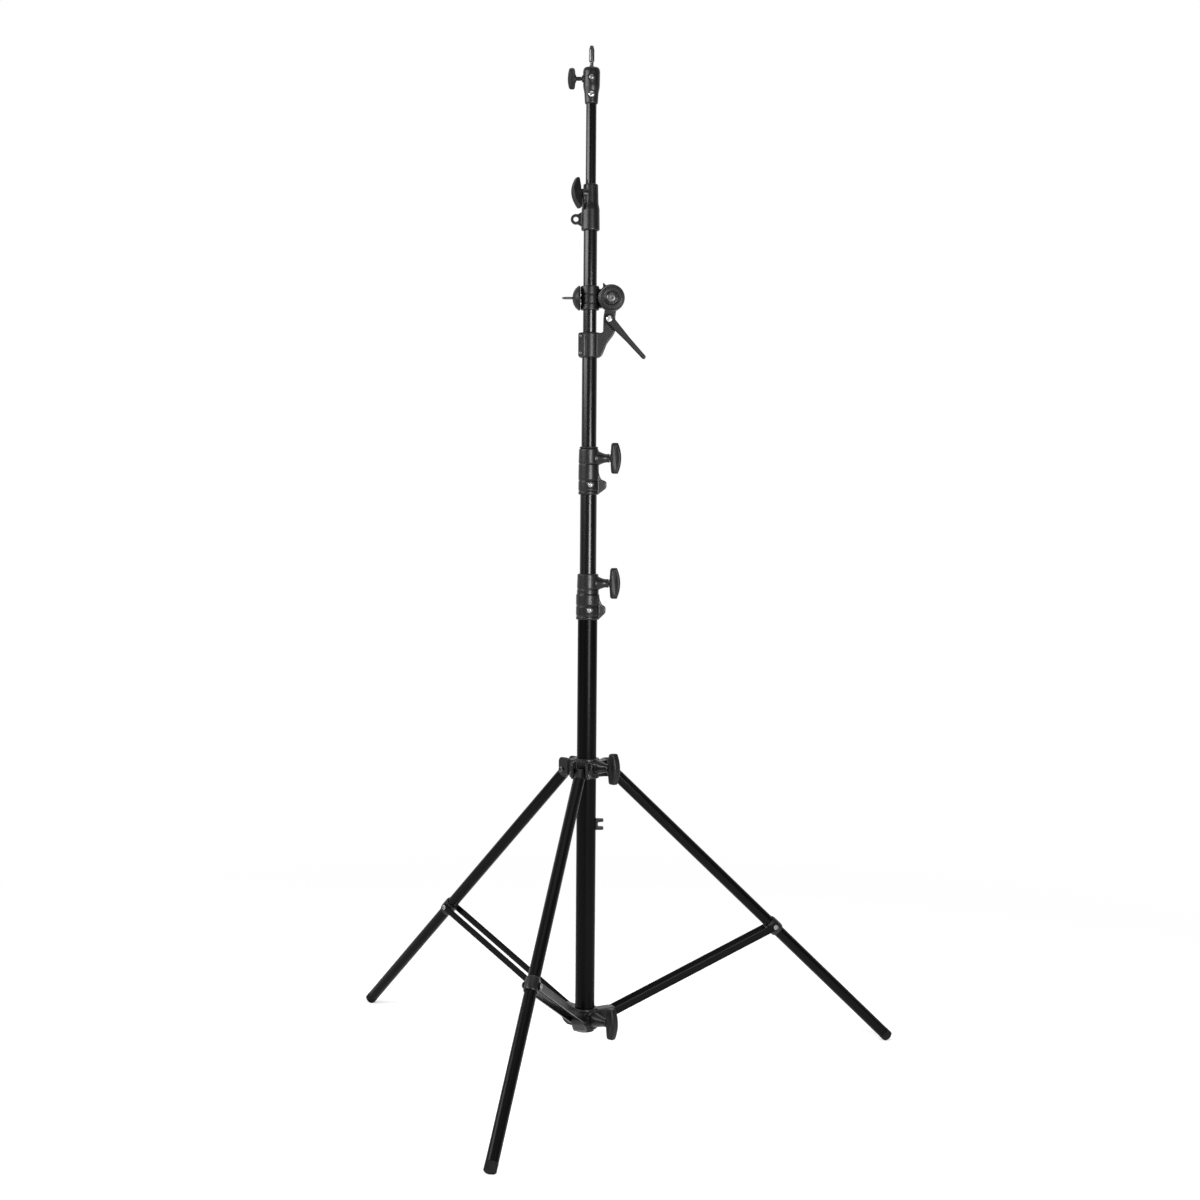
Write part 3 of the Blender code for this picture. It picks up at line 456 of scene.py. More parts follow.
enamel = enamel_finish("black_enamel")
moulded = knob_finish("moulded_black")
rubber = rubber_finish("foot_rubber")
bright_steel = steel_finish("bright_steel", 0.72, (0.18, 0.32))
dark_steel = steel_finish("blackened_steel", 0.10, (0.30, 0.44))
plain_steel = steel_finish("plain_steel", 0.26, (0.28, 0.42))
column_tube = tube_finish("anodised_column", UP, 0.18)
mast_tube = tube_finish("anodised_mast", UP)
upper_tube = tube_finish("anodised_boom", UP, 1.25)


# Small parts


def screw_head(head_r, head, key):
    """Domed screw seen from -Y with its underside at y = 0 and a six-sided key hole."""
    body = turned(
        [
            (0, -head),
            (head_r * 0.62, -head),
            (head_r * 0.93, -head * 0.72),
            (head_r, -head * 0.30),
            (head_r, 0),
            (SCREW_SHANK_R, 0),
            (SCREW_SHANK_R, SCREW_SHANK),
            (0, SCREW_SHANK),
        ],
        0.0004,
        SCREW_STEPS,
    )
    socket = rod(key, -head - 0.001, -head * 0.35, steps=KEY_SIDES)
    return along_y(combined(body, [socket], "DIFFERENCE"))


def t_bar(half_span, ends, middle, half_depth, screw_length):
    """T-knob: the screw along X, the crowned bar along Z, the back of the bar at x = 0."""
    steps = 12
    crown = [
        (ends + (middle - ends) * (1 - (i / steps) ** 2), half_span * i / steps)
        for i in range(-steps, steps + 1)
    ]
    flat = half_span * 0.4
    outline = [(0.0012, -half_span), *crown, (0.0012, half_span), (0.0, flat), (0.0, -flat)]
    bar = drawn(outline, -half_depth, half_depth, 0.0, min(0.0038, ends * 0.30, half_depth * 0.5))
    end_narrowing = 0.16
    for vert in bar.vertices:
        vert.co.y *= 1 - end_narrowing * (vert.co.z / half_span) ** 2
    neck_r = min(KNOB_NECK_R, half_depth - 0.0003)
    neck = along_x(turned([(0, -KNOB_NECK), (neck_r, -KNOB_NECK), (neck_r + 0.0006, 0.0012), (0, 0.0050)]))
    screw = along_x(rod(KNOB_SCREW_R, -screw_length, 0.003, 0.0005))
    return cast([bar, neck, screw], grain=KNOB_GRAIN, soften=4)


def knob_place(joint, lean=0.0):
    """Matrix of a knob whose screw axis is its joint's axis, turned about it by the lean."""
    axis = Vector(joints[joint]["axis"])
    angle = math.atan2(axis.y, axis.x)
    turn = Matrix.Rotation(angle, 4, "Z") @ Matrix.Rotation(math.radians(lean), 4, "X")
    return Matrix.Translation(joint_at(joint)) @ turn


def large_knob(node, joint):
    """One of the four equal T-knobs on the mast's collars, the hub and the spider."""
    knob = t_bar(0.0275, 0.0130, 0.0190, 0.0080, 0.0120)
    dress(node, moved(knob, knob_place(joint)), moulded)


def hole_x(tip_x, height, depth=KNOB_HOLE_DEPTH):
    """Cutter along X for a knob's screw, open at the tip."""
    return shifted(along_x(rod(KNOB_SCREW_R + PIN_GAP, -depth, 0.002)), x=tip_x, z=height)


def pad(face_y, height, x):
    return shifted(along_y(rod(PAD_R, 0.0, 0.0062, 0.0008)), x=x, y=face_y, z=height)


def pad_hole(face_y, height, x):
    return shifted(along_y(rod(PAD_HOLE_R, -0.001, 0.0036)), x=x, y=face_y, z=height)


def straight_tube(node, material, steps=TURN_STEPS):
    """Tube with rounded lips, as long and as thick as its solid."""
    low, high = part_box(node)
    outer, inner = (high.x - low.x) / 2, TUBE_BORES[node]
    profile = [(outer, low.z), (outer, high.z), (inner, high.z), (inner, low.z)]
    dress(node, turned(profile, 0.0004, steps), material)


# Mast


def groove(radius, height):
    """Profile points of a shallow ring groove, from below it to above it."""
    return [
        (radius, height - GROOVE_HALF_WIDTH - 0.0004),
        (radius - GROOVE_DEPTH, height - GROOVE_HALF_WIDTH),
        (radius - GROOVE_DEPTH, height + GROOVE_HALF_WIDTH),
        (radius, height + GROOVE_HALF_WIDTH + 0.0004),
    ]


def collar(node, lower_r, upper_r):
    """Clamp collar with its knob boss, nose and screw pad, in grooved bands."""
    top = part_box(node)[1].z
    low_r = lower_r + SLIDE_GAP + CASTING_WALL
    high_r = max(upper_r + SLIDE_GAP + CASTING_WALL, low_r - 0.0015)
    bottom = -COLLAR_HEIGHT
    nose_z = -COLLAR_NOSE_DROP
    knob_z = joint_at(node + "_knob_turn").z - top
    barrel = turned(
        [
            (0, bottom),
            (low_r - 0.0008, bottom),
            (low_r, bottom + 0.0016),
            *groove(low_r, bottom + 0.0064),
            *groove(low_r, bottom + 0.0250),
            (low_r, -COLLAR_UPPER_DEPTH - 0.0020),
            (high_r, -COLLAR_UPPER_DEPTH),
            *groove(high_r, -0.0272),
            (high_r - 0.0007, -0.0014),
            (high_r - 0.0022, 0),
            (0, 0),
        ],
        0.0005,
    )
    boss = along_x(
        turned(
            [
                (0, 0.0060),
                (0.0142, 0.0060),
                (0.0137, 0.0150),
                (0.0108, 0.0215),
                (0.0086, 0.0265),
                (0.0075, 0.0315),
                (0.0077, 0.0350),
                (0.0083, BOSS_TIP_X),
                (0, BOSS_TIP_X),
            ],
            0.0024,
        )
    )
    nose = drawn(
        [
            (0.0060, bottom + 0.0006),
            (low_r - 0.0012, bottom + 0.0006),
            (0.0292, nose_z - 0.0080),
            (0.0320, nose_z - 0.0045),
            (0.0320, nose_z + 0.0050),
            (0.0290, nose_z + 0.0072),
            (low_r + 0.0042, nose_z + 0.0095),
            (low_r + 0.0008, nose_z + 0.0175),
            (low_r - 0.0012, nose_z + 0.0280),
            (0.0060, nose_z + 0.0280),
        ],
        -0.0078,
        0.0078,
        0.0022,
        0.0020,
    )
    pad_y = -(low_r + PAD_RISE)
    skin = cast(
        [barrel, shifted(boss, z=knob_z), nose, pad(pad_y, nose_z, COLLAR_SCREW_X)],
        [
            rod(lower_r + SLIDE_GAP, bottom - 0.01, -COLLAR_UPPER_DEPTH, steps=TURN_STEPS),
            rod(upper_r + SLIDE_GAP, bottom, 0.01, steps=TURN_STEPS),
            hole_x(BOSS_TIP_X, knob_z),
            pad_hole(pad_y, nose_z, COLLAR_SCREW_X),
        ],
    )
    dress(node, shifted(skin, z=top), enamel)
    screw = screw_head(0.0047, 0.0026, 0.0018)
    screw = shifted(screw, COLLAR_SCREW_X, pad_y - PIN_GAP, top + nose_z)
    dress(node + "_screw", screw, plain_steel)
    large_knob(node + "_knob", node + "_knob_turn")


def make_mast():
    straight_tube("column_tube", column_tube, COLUMN_STEPS)
    straight_tube("section_2_tube", mast_tube)
    straight_tube("section_3_tube", mast_tube)
    column_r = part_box("column_tube")[1].x
    section_2_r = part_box("section_2_tube")[1].x
    section_3_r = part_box("section_3_tube")[1].x
    low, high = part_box("column_end_plug")
    plug_r = (high.x - low.x) / 2
    spigot_r = column_r - COLUMN_WALL - SLIDE_GAP
    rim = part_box("column_tube")[0].z - PIN_GAP
    plug = turned(
        [
            (0, low.z + 0.0012),
            (plug_r * 0.55, low.z + 0.0012),
            (plug_r * 0.60, low.z),
            (plug_r - 0.0010, low.z),
            (plug_r, low.z + 0.0011),
            (plug_r, rim),
            (spigot_r, rim),
            (spigot_r, high.z),
            (0, high.z),
        ],
        0.0005,
    )
    dress("column_end_plug", plug, moulded)
    collar("collar_1", column_r, section_2_r)
    bush_r = section_3_r + SLIDE_GAP + BUSH_WALL
    collar("collar_2", section_2_r, bush_r)
    low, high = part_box("collar_2_bush")
    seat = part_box("collar_2")[1].z
    bush = turned(
        [
            (bush_r, low.z),
            (bush_r, seat + PIN_GAP),
            (bush_r + 0.0019, seat + PIN_GAP),
            (bush_r + 0.0019, high.z - 0.0012),
            (bush_r + 0.0008, high.z),
            (section_3_r + SLIDE_GAP, high.z),
            (section_3_r + SLIDE_GAP, low.z),
        ],
        0.0006,
    )
    dress("collar_2_bush", bush, moulded)


# Swivel


def make_bracket():
    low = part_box("boom_bracket")[0]
    bottom, top = low.z, low.z + BRACKET_HEIGHT
    pivot, lever = joint_at("boom_tilt"), joint_at("tilt_lever_turn")
    section_3_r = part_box("section_3_tube")[1].x
    barrel = turned(
        [
            (0, bottom),
            (0.0180, bottom),
            (0.0192, bottom + 0.0016),
            (0.0192, top - 0.0016),
            (0.0178, top),
            (0, top),
        ],
        0.0014,
    )
    arm = drawn(
        [
            (0.0100, bottom + 0.0006),
            (0.0200, bottom + 0.0006),
            (0.0236, bottom + 0.0062),
            (0.0305, bottom + 0.0240),
            (0.0430, bottom + 0.0406),
            (0.0462, lever.z - 0.0170),
            (0.0462, lever.z - 0.0078),
            (0.0450, lever.z + 0.0042),
            (0.0480, pivot.z - 0.0160),
            (0.0270, pivot.z - 0.0160),
            (0.0240, lever.z + 0.0042),
            (0.0236, top - 0.0010),
            (0.0100, top - 0.0010),
        ],
        DISC_FRONT + 0.0010,
        DISC_BACK - 0.0005,
        0.0040,
        0.0016,
    )
    thickness = DISC_BACK - DISC_FRONT
    disc = turned(
        [
            (0, 0),
            (0.0100, 0),
            (0.0106, 0.0010),
            (0.0124, 0.0010),
            (0.0130, 0),
            (0.0188, 0),
            (0.0194, 0.0010),
            (0.0210, 0.0010),
            (0.0215, 0.0003),
            (DISC_R - 0.0006, 0.0010),
            (DISC_R, 0.0022),
            (DISC_R, thickness),
            (0, thickness),
        ],
        0.0005,
    )
    disc = shifted(along_y(disc), pivot.x, DISC_FRONT, pivot.z)
    seat = shifted(along_y(rod(0.0078, 0.0, 0.0030, 0.0006)), lever.x, DISC_FRONT + 0.0004, lever.z)
    lug_outline = rectangle(-0.0202, bottom + 0.0012, -0.0080, top - 0.0012)
    lug = drawn(lug_outline, LUG_Y, -0.0020, 0.0030, 0.0016)
    slit = drawn(rectangle(-0.0215, bottom - 0.001, -0.0080, top + 0.001), -0.0112, -0.0098)
    cuts = [
        rod(section_3_r + PIN_GAP, bottom - 0.01, top - BRACKET_ROOF, steps=TURN_STEPS),
        rod(section_3_r - 0.0008, bottom, top + 0.01, steps=TURN_STEPS),
        shifted(along_y(rod(PIVOT_BOLT_R + PIN_GAP, -0.03, 0.02)), pivot.x, 0, pivot.z),
        shifted(along_y(rod(PIVOT_PIN_R + PIN_GAP, -0.03, 0.02)), lever.x, 0, lever.z),
        pad_hole(LUG_Y, bottom + LUG_SCREW_INSET, LUG_X),
        pad_hole(LUG_Y, top - LUG_SCREW_INSET, LUG_X),
        slit,
    ]
    dress("boom_bracket", cast([barrel, arm, disc, seat, lug], cuts, soften=4), enamel)
    for label, height in (("lower", bottom + LUG_SCREW_INSET), ("upper", top - LUG_SCREW_INSET)):
        screw = screw_head(0.0030, 0.0022, 0.0013)
        dress("bracket_screw_" + label, shifted(screw, LUG_X, LUG_Y - PIN_GAP, height), dark_steel)
    make_pivot_bolt(pivot)
    make_lever(lever)


def make_pivot_bolt(pivot):
    front, back = DISC_FRONT - PIN_GAP, CLAMP_DISC_BACK + PIN_GAP
    bolt = turned(
        [
            (0, front - 0.0042),
            (0.0060, front - 0.0042),
            (0.0083, front - 0.0030),
            (0.0085, front),
            (PIVOT_BOLT_R, front),
            (PIVOT_BOLT_R, back),
            (0.0075, back),
            (0.0075, back + 0.0040),
            (0.0050, back + 0.0055),
            (0, back + 0.0055),
        ],
        0.0008,
    )
    socket = rod(0.0032, -0.0012, 0.0022, steps=KEY_SIDES)
    bolt = combined(bolt, [shifted(socket, z=front - 0.0042)], "DIFFERENCE")
    dress("tilt_pivot_bolt", shifted(along_y(bolt), pivot.x, 0, pivot.z), dark_steel)


def make_lever(lever):
    reach = math.hypot(LEVER_REACH_X, LEVER_REACH_Z)
    handle = drawn(
        [
            *arc(0, 0, 0.0085, 60, 300, 24),
            (0.0180, -0.0066),
            (reach * 0.55, -0.0046),
            *arc(reach, 0, 0.0038, -90, 90, 12),
            (reach * 0.55, 0.0046),
            (0.0180, 0.0066),
        ],
        -0.0044,
        0.0044,
        0.0,
        0.0022,
        5,
    )
    handle = cast([handle], [along_y(rod(PIVOT_PIN_R + PIN_GAP, -0.01, 0.01))], SMALL_GRAIN, 5)
    lean = math.degrees(math.atan2(LEVER_REACH_Z, LEVER_REACH_X))
    dress("tilt_lever", shifted(about(handle, "Y", lean), *lever), moulded)
    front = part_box("tilt_lever_screw")[0].y
    screw = turned(
        [
            (0, 0),
            (0.0036, 0),
            (0.0052, 0.0012),
            (0.0056, 0.0030),
            (PIVOT_PIN_R, 0.0030),
            (PIVOT_PIN_R, 0.0230),
            (0, 0.0230),
        ],
        0.0005,
        SCREW_STEPS,
    )
    dress("tilt_lever_screw", shifted(along_y(screw), lever.x, front, lever.z), bright_steel)


def make_clamp():
    pivot = joint_at("boom_tilt")
    boom_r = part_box("boom_tube")[1].x
    half = CLAMP_HALF_HEIGHT
    barrel = turned(
        [
            (0, -half),
            (CLAMP_R - 0.0012, -half),
            (CLAMP_R, -half + 0.0014),
            *groove(CLAMP_R, -0.0095),
            *groove(CLAMP_R, 0.0060),
            (CLAMP_R, half - 0.0014),
            (CLAMP_R - 0.0012, half),
            (0, half),
        ],
        0.0005,
    )
    barrel = shifted(barrel, x=-pivot.x)
    front = DISC_BACK + PIN_GAP
    disc = along_y(
        turned(
            [
                (0, front + 0.0003),
                (CLAMP_DISC_R, front + 0.0003),
                (CLAMP_DISC_R, CLAMP_DISC_BACK - 0.0016),
                (CLAMP_DISC_R - 0.0016, CLAMP_DISC_BACK),
                (0, CLAMP_DISC_BACK),
            ],
            0.0010,
        )
    )
    web_outline = rectangle(-pivot.x, -0.0170, 0.0, 0.0170)
    web = drawn(web_outline, front + 0.0012, CLAMP_DISC_BACK - 0.0006, 0.0, 0.0016)
    pointer = drawn(
        [(-0.0050, 0.0150), (-0.0060, 0.0205), (-0.0150, 0.0288), (-0.0148, 0.0150)],
        front + 0.0020,
        front + 0.0070,
        0.0010,
        0.0006,
    )
    cuts = [
        shifted(rod(boom_r + SLIDE_GAP, -0.04, 0.04, steps=TURN_STEPS), x=-pivot.x),
        along_y(rod(DISC_R + 0.0004, -0.04, front, steps=TURN_STEPS)),
        along_y(rod(PIVOT_BOLT_R + PIN_GAP, -0.03, 0.03)),
        along_x(rod(0.0026, -pivot.x - 0.03, -pivot.x - 0.0133)),
    ]
    skin = cast([barrel, disc, web, pointer], cuts, soften=4)
    dress("boom_clamp", shifted(skin, pivot.x, pivot.y, pivot.z), enamel)
    at = joint_at("clamp_knob_turn")
    dome = turned(
        [
            (0.0028, 0),
            (0.0203, 0),
            (0.0220, 0.0012),
            (0.0220, 0.0034),
            (0.0204, 0.0050),
            (0.0172, 0.0088),
            (0.0110, 0.0124),
            (0.0060, 0.0139),
            (0.0028, 0.0143),
        ],
        0.0012,
    )
    dress("boom_clamp_knob", shifted(about(dome, "Y", -90), *at), moulded)
    stem_profile = [(0, -0.0028), (0.0023, -0.0028), (0.0023, 0.0270), (0.0015, 0.0325), (0, 0.0325)]
    stem = turned(stem_profile, 0.0006, SCREW_STEPS)
    dress("boom_clamp_screw", shifted(about(stem, "Y", -90), *at), dark_steel)


# Boom


def make_boom():
    straight_tube("boom_tube", upper_tube)
    straight_tube("section_5_tube", upper_tube)
    boom_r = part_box("boom_tube")[1].x
    top_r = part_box("section_5_tube")[1].x
    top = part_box("collar_4")[1].z
    bottom = -COLLAR_HEIGHT
    at = joint_at("collar_4_knob_turn")
    knob_z = at.z - top
    azimuth = math.degrees(math.atan2(at.y, at.x))
    barrel = turned(
        [
            (0, bottom),
            (0.0153, bottom),
            (0.0165, bottom + 0.0014),
            (0.0160, -0.0440),
            (0.0140, -0.0340),
            (0.0132, -0.0014),
            (0.0120, 0),
            (0, 0),
        ],
        0.0016,
    )
    boss_profile = [(0, 0.004), (0.0108, 0.004), (0.0092, 0.0130), (0.0074, WING_BACK), (0, WING_BACK)]
    boss = along_x(turned(boss_profile, 0.0016))
    web = drawn(
        [
            (0.0080, knob_z + 0.0085),
            (0.0150, knob_z + 0.0062),
            (0.0178, knob_z - 0.0030),
            (0.0168, knob_z - 0.0110),
            (0.0150, -0.0400),
            (0.0080, -0.0460),
        ],
        -0.0050,
        0.0050,
        0.0024,
        0.0018,
    )
    eye = drawn(
        [
            (-0.0100, -0.0470),
            (-0.0165, -0.0495),
            *arc(-0.0258, -0.0620, 0.0094, 70, 290, 20),
            (-0.0165, -0.0745),
            (-0.0100, -0.0770),
        ],
        -0.0032,
        0.0032,
        0.0,
        0.0014,
    )
    hole = about(hole_x(WING_BACK, knob_z, 0.0074), "Z", azimuth)
    skin = cast(
        [barrel, about(shifted(boss, z=knob_z), "Z", azimuth), about(web, "Z", azimuth), eye],
        [
            rod(boom_r + SLIDE_GAP, bottom - 0.01, -COLLAR_UPPER_DEPTH, steps=TURN_STEPS),
            rod(top_r + SLIDE_GAP, bottom, 0.01, steps=TURN_STEPS),
            shifted(along_y(rod(0.0045, -0.02, 0.02)), x=-0.0258, z=-0.0620),
            hole,
        ],
    )
    dress("collar_4", shifted(skin, z=top), enamel)
    knob = t_bar(0.0275, 0.0062, 0.0160, 0.0065, 0.0085)
    dress("collar_4_knob", moved(knob, knob_place("collar_4_knob_turn", 10.0)), moulded)


# Head


def make_head():
    low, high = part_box("head_adapter")
    bottom, top = low.z, high.z
    tube_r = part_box("section_5_tube")[1].x
    knob_z = joint_at("head_knob_turn").z
    screw_z = bottom + HEAD_SCREW_RISE
    body = turned(
        [
            (0, bottom),
            (0.0106, bottom),
            (0.0116, bottom + 0.0016),
            (0.0126, bottom + 0.0190),
            (0.0148, bottom + 0.0300),
            (0.0152, top - 0.0070),
            (0.0140, top - 0.0022),
            (0.0118, top),
            (0, top),
        ],
        0.0022,
    )
    side = shifted(along_x(rod(0.0060, -0.0172, 0.0, 0.0010)), z=knob_z)
    cuts = [
        rod(tube_r + PIN_GAP, bottom - 0.01, bottom + HEAD_SOCKET_DEPTH + PIN_GAP, steps=TURN_STEPS),
        rod(STUD_R + SLIDE_GAP, top - STUD_SEAT - 0.001, top + 0.01),
        shifted(along_x(rod(0.0031, -0.0300, -0.0075)), z=knob_z),
        pad_hole(HEAD_PADS[0], screw_z, 0.0),
        pad_hole(HEAD_PADS[1], knob_z, 0.0),
    ]
    adds = [body, side, pad(HEAD_PADS[0], screw_z, 0.0), pad(HEAD_PADS[1], knob_z, 0.0)]
    dress("head_adapter", cast(adds, cuts, soften=4), enamel)
    # The two head screws are alike: the lower one takes the bright steel to paint the glint it shows (a
    # painted highlight), and the upper one takes the plain steel.
    for label, radius, pad_y, height, steel in (
        ("lower", 0.0050, HEAD_PADS[0], screw_z, bright_steel),
        ("upper", 0.0044, HEAD_PADS[1], knob_z, plain_steel),
    ):
        screw = screw_head(radius, 0.0026, 0.0018)
        dress("head_screw_" + label, shifted(screw, 0.0, pad_y - PIN_GAP, height), steel)
    grip = t_bar(0.0182, 0.0105, 0.0135, 0.0080, 0.0110)
    stem = along_x(rod(0.0028, -0.0180, -0.0080, 0.0004))
    ferrule = along_x(rod(0.0036, -0.0105, 0.002, 0.0005))
    knob = cast([grip, stem, ferrule], grain=SMALL_GRAIN, soften=2)
    dress("head_knob", moved(knob, knob_place("head_knob_turn", -25.0)), moulded)
    stud = turned(
        [
            (0, top - STUD_SEAT),
            (STUD_R, top - STUD_SEAT),
            (STUD_R, top + 0.0015),
            (0.0033, top + 0.0030),
            (0.0033, top + 0.0092),
            (STUD_R, top + 0.0110),
            (STUD_R, top + STUD_RISE - 0.0075),
            (0.0030, top + STUD_RISE - 0.0008),
            (0.0022, top + STUD_RISE),
            (0, top + STUD_RISE),
        ],
        0.0007,
        SCREW_STEPS,
    )
    dress("top_stud", stud, dark_steel)


# Leg set


def leg_azimuth(label):
    """Heading of a leg in degrees from +X."""
    pivot = joint_at(f"leg_{label}_hinge")
    return math.degrees(math.atan2(pivot.y, pivot.x))


def side_boss(height):
    """Flared boss for a T-knob between the front and the right leg."""
    boss = turned(
        [
            (0, 0.012),
            (0.0135, 0.012),
            (0.0128, 0.0260),
            (0.0104, 0.0360),
            (0.0080, 0.0440),
            (0.0074, 0.0500),
            (0.0078, SIDE_BOSS_TIP),
            (0, SIDE_BOSS_TIP),
        ],
        0.0024,
    )
    return about(shifted(along_x(boss), z=height), "Z", SIDE_KNOB_AZIMUTH)


def side_hole(height):
    """Cutter for the knob's screw in the side boss."""
    return about(hole_x(SIDE_BOSS_TIP, height), "Z", SIDE_KNOB_AZIMUTH)


def sleeve(half_height):
    """Body of the hub and of the spider round the column, a little swollen at its ends."""
    return turned(
        [
            (0, -half_height),
            (SLEEVE_R - 0.0010, -half_height),
            (SLEEVE_R, -half_height + 0.0014),
            (SLEEVE_R - 0.0006, -half_height + 0.0080),
            (SLEEVE_R - 0.0006, half_height - 0.0080),
            (SLEEVE_R, half_height - 0.0014),
            (SLEEVE_R - 0.0010, half_height),
            (0, half_height),
        ],
        0.0012,
    )


def make_hub():
    low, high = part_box("leg_hub")
    centre, half = (low.z + high.z) / 2, (high.z - low.z) / 2
    column_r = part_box("column_tube")[1].x
    adds = [sleeve(half), side_boss(HUB_KNOB_RISE)]
    cuts = []
    for label in LEG_NAMES:
        pivot = joint_at(f"leg_{label}_hinge")
        azimuth = leg_azimuth(label)
        fork = drawn(
            [
                (0.0120, -0.0150),
                (0.0400, -0.0150),
                (0.0545, -0.0135),
                (0.0558, -0.0100),
                (0.0558, 0.0110),
                (0.0520, 0.0158),
                (0.0360, 0.0158),
                (0.0280, 0.0130),
                (0.0120, 0.0145),
            ],
            -FORK_OUTER,
            FORK_OUTER,
            0.0036,
            0.0014,
        )
        slot = drawn(rectangle(0.0345, -0.03, 0.08, 0.03), -FORK_INNER, FORK_INNER)
        waist = [
            drawn(rectangle(0.0250, -0.03, 0.0325, 0.03), *sorted((side * 0.0128, side * 0.0250)), 0.0020)
            for side in (1, -1)
        ]
        hole = along_y(rod(PIVOT_PIN_R + PIN_GAP, -0.03, 0.03))
        hole = shifted(hole, x=math.hypot(pivot.x, pivot.y), z=pivot.z - centre)
        adds.append(about(fork, "Z", azimuth))
        cuts.extend(about(cutter, "Z", azimuth) for cutter in (slot, hole, *waist))
    cuts.append(rod(column_r + SLIDE_GAP, -0.04, 0.04, steps=TURN_STEPS))
    cuts.append(side_hole(HUB_KNOB_RISE))
    dress("leg_hub", shifted(cast(adds, cuts), z=centre), enamel)
    large_knob("leg_hub_knob", "hub_knob_turn")


def make_spider():
    centre = joint_at("spider_knob_turn").z
    column_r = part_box("column_tube")[1].x
    rise = BRACE_FOOT_Z - centre
    adds = [sleeve(SPIDER_HALF_HEIGHT), side_boss(0.0)]
    for label in LEG_NAMES:
        ear = drawn(
            [
                (0.0185, -0.0172),
                (0.0340, -0.0172),
                (0.0420, -0.0130),
                (0.0560, 0.0015),
                *arc(BRACE_FOOT_R, rise, 0.0082, -35, 90, 12),
                (0.0400, rise + 0.0078),
                (0.0185, rise + 0.0060),
            ],
            -EAR_HALF_WIDTH,
            EAR_HALF_WIDTH,
            0.0018,
            0.0014,
        )
        adds.append(about(ear, "Z", leg_azimuth(label)))
    cuts = [rod(column_r + PIN_GAP, -0.04, 0.04, steps=TURN_STEPS), side_hole(0.0)]
    dress("lower_spider", shifted(cast(adds, cuts), z=centre), enamel)
    large_knob("lower_spider_knob", "spider_knob_turn")


def make_fork_lug():
    low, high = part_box("column_fork_lug")
    centre = (low.z + high.z) / 2
    column_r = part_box("column_tube")[1].x
    outline = [
        (0.0165, -0.0102),
        (0.0312, -0.0098),
        (0.0312, -0.0046),
        (0.0212, -0.0040),
        (0.0212, 0.0040),
        (0.0312, 0.0046),
        (0.0312, 0.0098),
        (0.0165, 0.0102),
    ]
    lug = drawn(outline, -0.0062, 0.0062, 0.0020, 0.0010)
    lug = cast([lug], [rod(column_r + PIN_GAP, -0.03, 0.03, steps=TURN_STEPS)], SMALL_GRAIN, 4)
    dress("column_fork_lug", shifted(lug, z=centre), enamel)


def leg_cap():
    """Plug for the top of a leg, round about the pivot; the leg runs along -Z."""
    outer = LEG_R - 0.0001
    body = turned(
        [
            (0, -LEG_CAP_LENGTH - 0.0180),
            (LEG_PLUG_R, -LEG_CAP_LENGTH - 0.0180),
            (LEG_PLUG_R, -LEG_CAP_LENGTH),
            (outer, -LEG_CAP_LENGTH),
            (outer, 0.0120),
            (0, 0.0120),
        ],
        0.0005,
    )
    dome = arc(0, 0, LEG_R - 0.0002, 0, 180, 20)
    crown = drawn([*dome, (-0.02, 0.0), (-0.02, -0.05), (0.02, -0.05), (0.02, 0.0)], -0.02, 0.02)
    body = combined(body, [crown], "INTERSECT")
    return cast([body], [along_y(rod(PIVOT_PIN_R + PIN_GAP, -0.02, 0.02))], SMALL_GRAIN, 4)


def leg_foot(end, to_leg):
    """Ribbed rubber tip, its lower edge cut level with the floor."""
    top = -(end - FOOT_LENGTH)
    grip = []
    for i in range(3):
        height = -end + 0.0042 + 0.0030 * i
        grip.extend([(LEG_R, height - 0.0008), (LEG_R - 0.0005, height), (LEG_R, height + 0.0008)])
    body = turned(
        [
            (0, -end),
            (LEG_R - 0.0020, -end),
            (LEG_R, -end + 0.0018),
            *grip,
            (LEG_R + 0.0002, top - 0.0008),
            (LEG_R + 0.0002, top),
            (LEG_PLUG_R, top),
            (LEG_PLUG_R, top + 0.0180),
            (0, top + 0.0180),
        ],
        0.0003,
    )
    floor = drawn(rectangle(0.0, -0.1, 1.2, 0.0), -0.05, 0.05)
    return combined(body, [moved(floor, to_leg)], "DIFFERENCE")


def brace_clip():
    """Saddle round a leg tube at the brace bolt, swollen at the bolt and flat where the strips pass."""
    ring = turned(
        [
            (LEG_R + PIN_GAP, -0.0130),
            (0.0124, -0.0130),
            (0.0132, -0.0100),
            (0.0134, 0.0),
            (0.0132, 0.0100),
            (0.0124, 0.0130),
            (LEG_R + PIN_GAP, 0.0130),
        ],
        0.0010,
    )
    flat = STRIP_INNER - SLIDE_GAP
    slab = drawn(rectangle(-0.02, -0.02, 0.02, 0.02), -flat, flat)
    ring = combined(ring, [slab], "INTERSECT")
    return combined(ring, [along_y(rod(BRACE_BOLT_R + PIN_GAP, -0.02, 0.02))], "DIFFERENCE")


def brace_strip(length, side):
    """Flat strip with round ends from the leg bolt along +X to a rivet at the spider's ear."""
    low, high = sorted((side * STRIP_INNER, side * STRIP_OUTER))
    outline = [
        *arc(0, 0, STRIP_HALF_HEIGHT, 90, 270, 18),
        *arc(length, 0, STRIP_HALF_HEIGHT, -90, 90, 18),
    ]
    strip = drawn(outline, low, high, 0.0, 0.0005, 3)
    rivet_profile = [(0, 0), (0.0044, 0), (0.0044, 0.0012), (0.0030, 0.0022), (0, 0.0022)]
    rivet = turned(rivet_profile, 0.0007, SCREW_STEPS)
    rivet = about(shifted(rivet, z=STRIP_OUTER - 0.0004), "X", -90 * side)
    strip = combined(strip, [shifted(rivet, x=length)], "UNION")
    return combined(strip, [along_y(rod(BRACE_BOLT_R + PIN_GAP, -0.02, 0.02))], "DIFFERENCE")


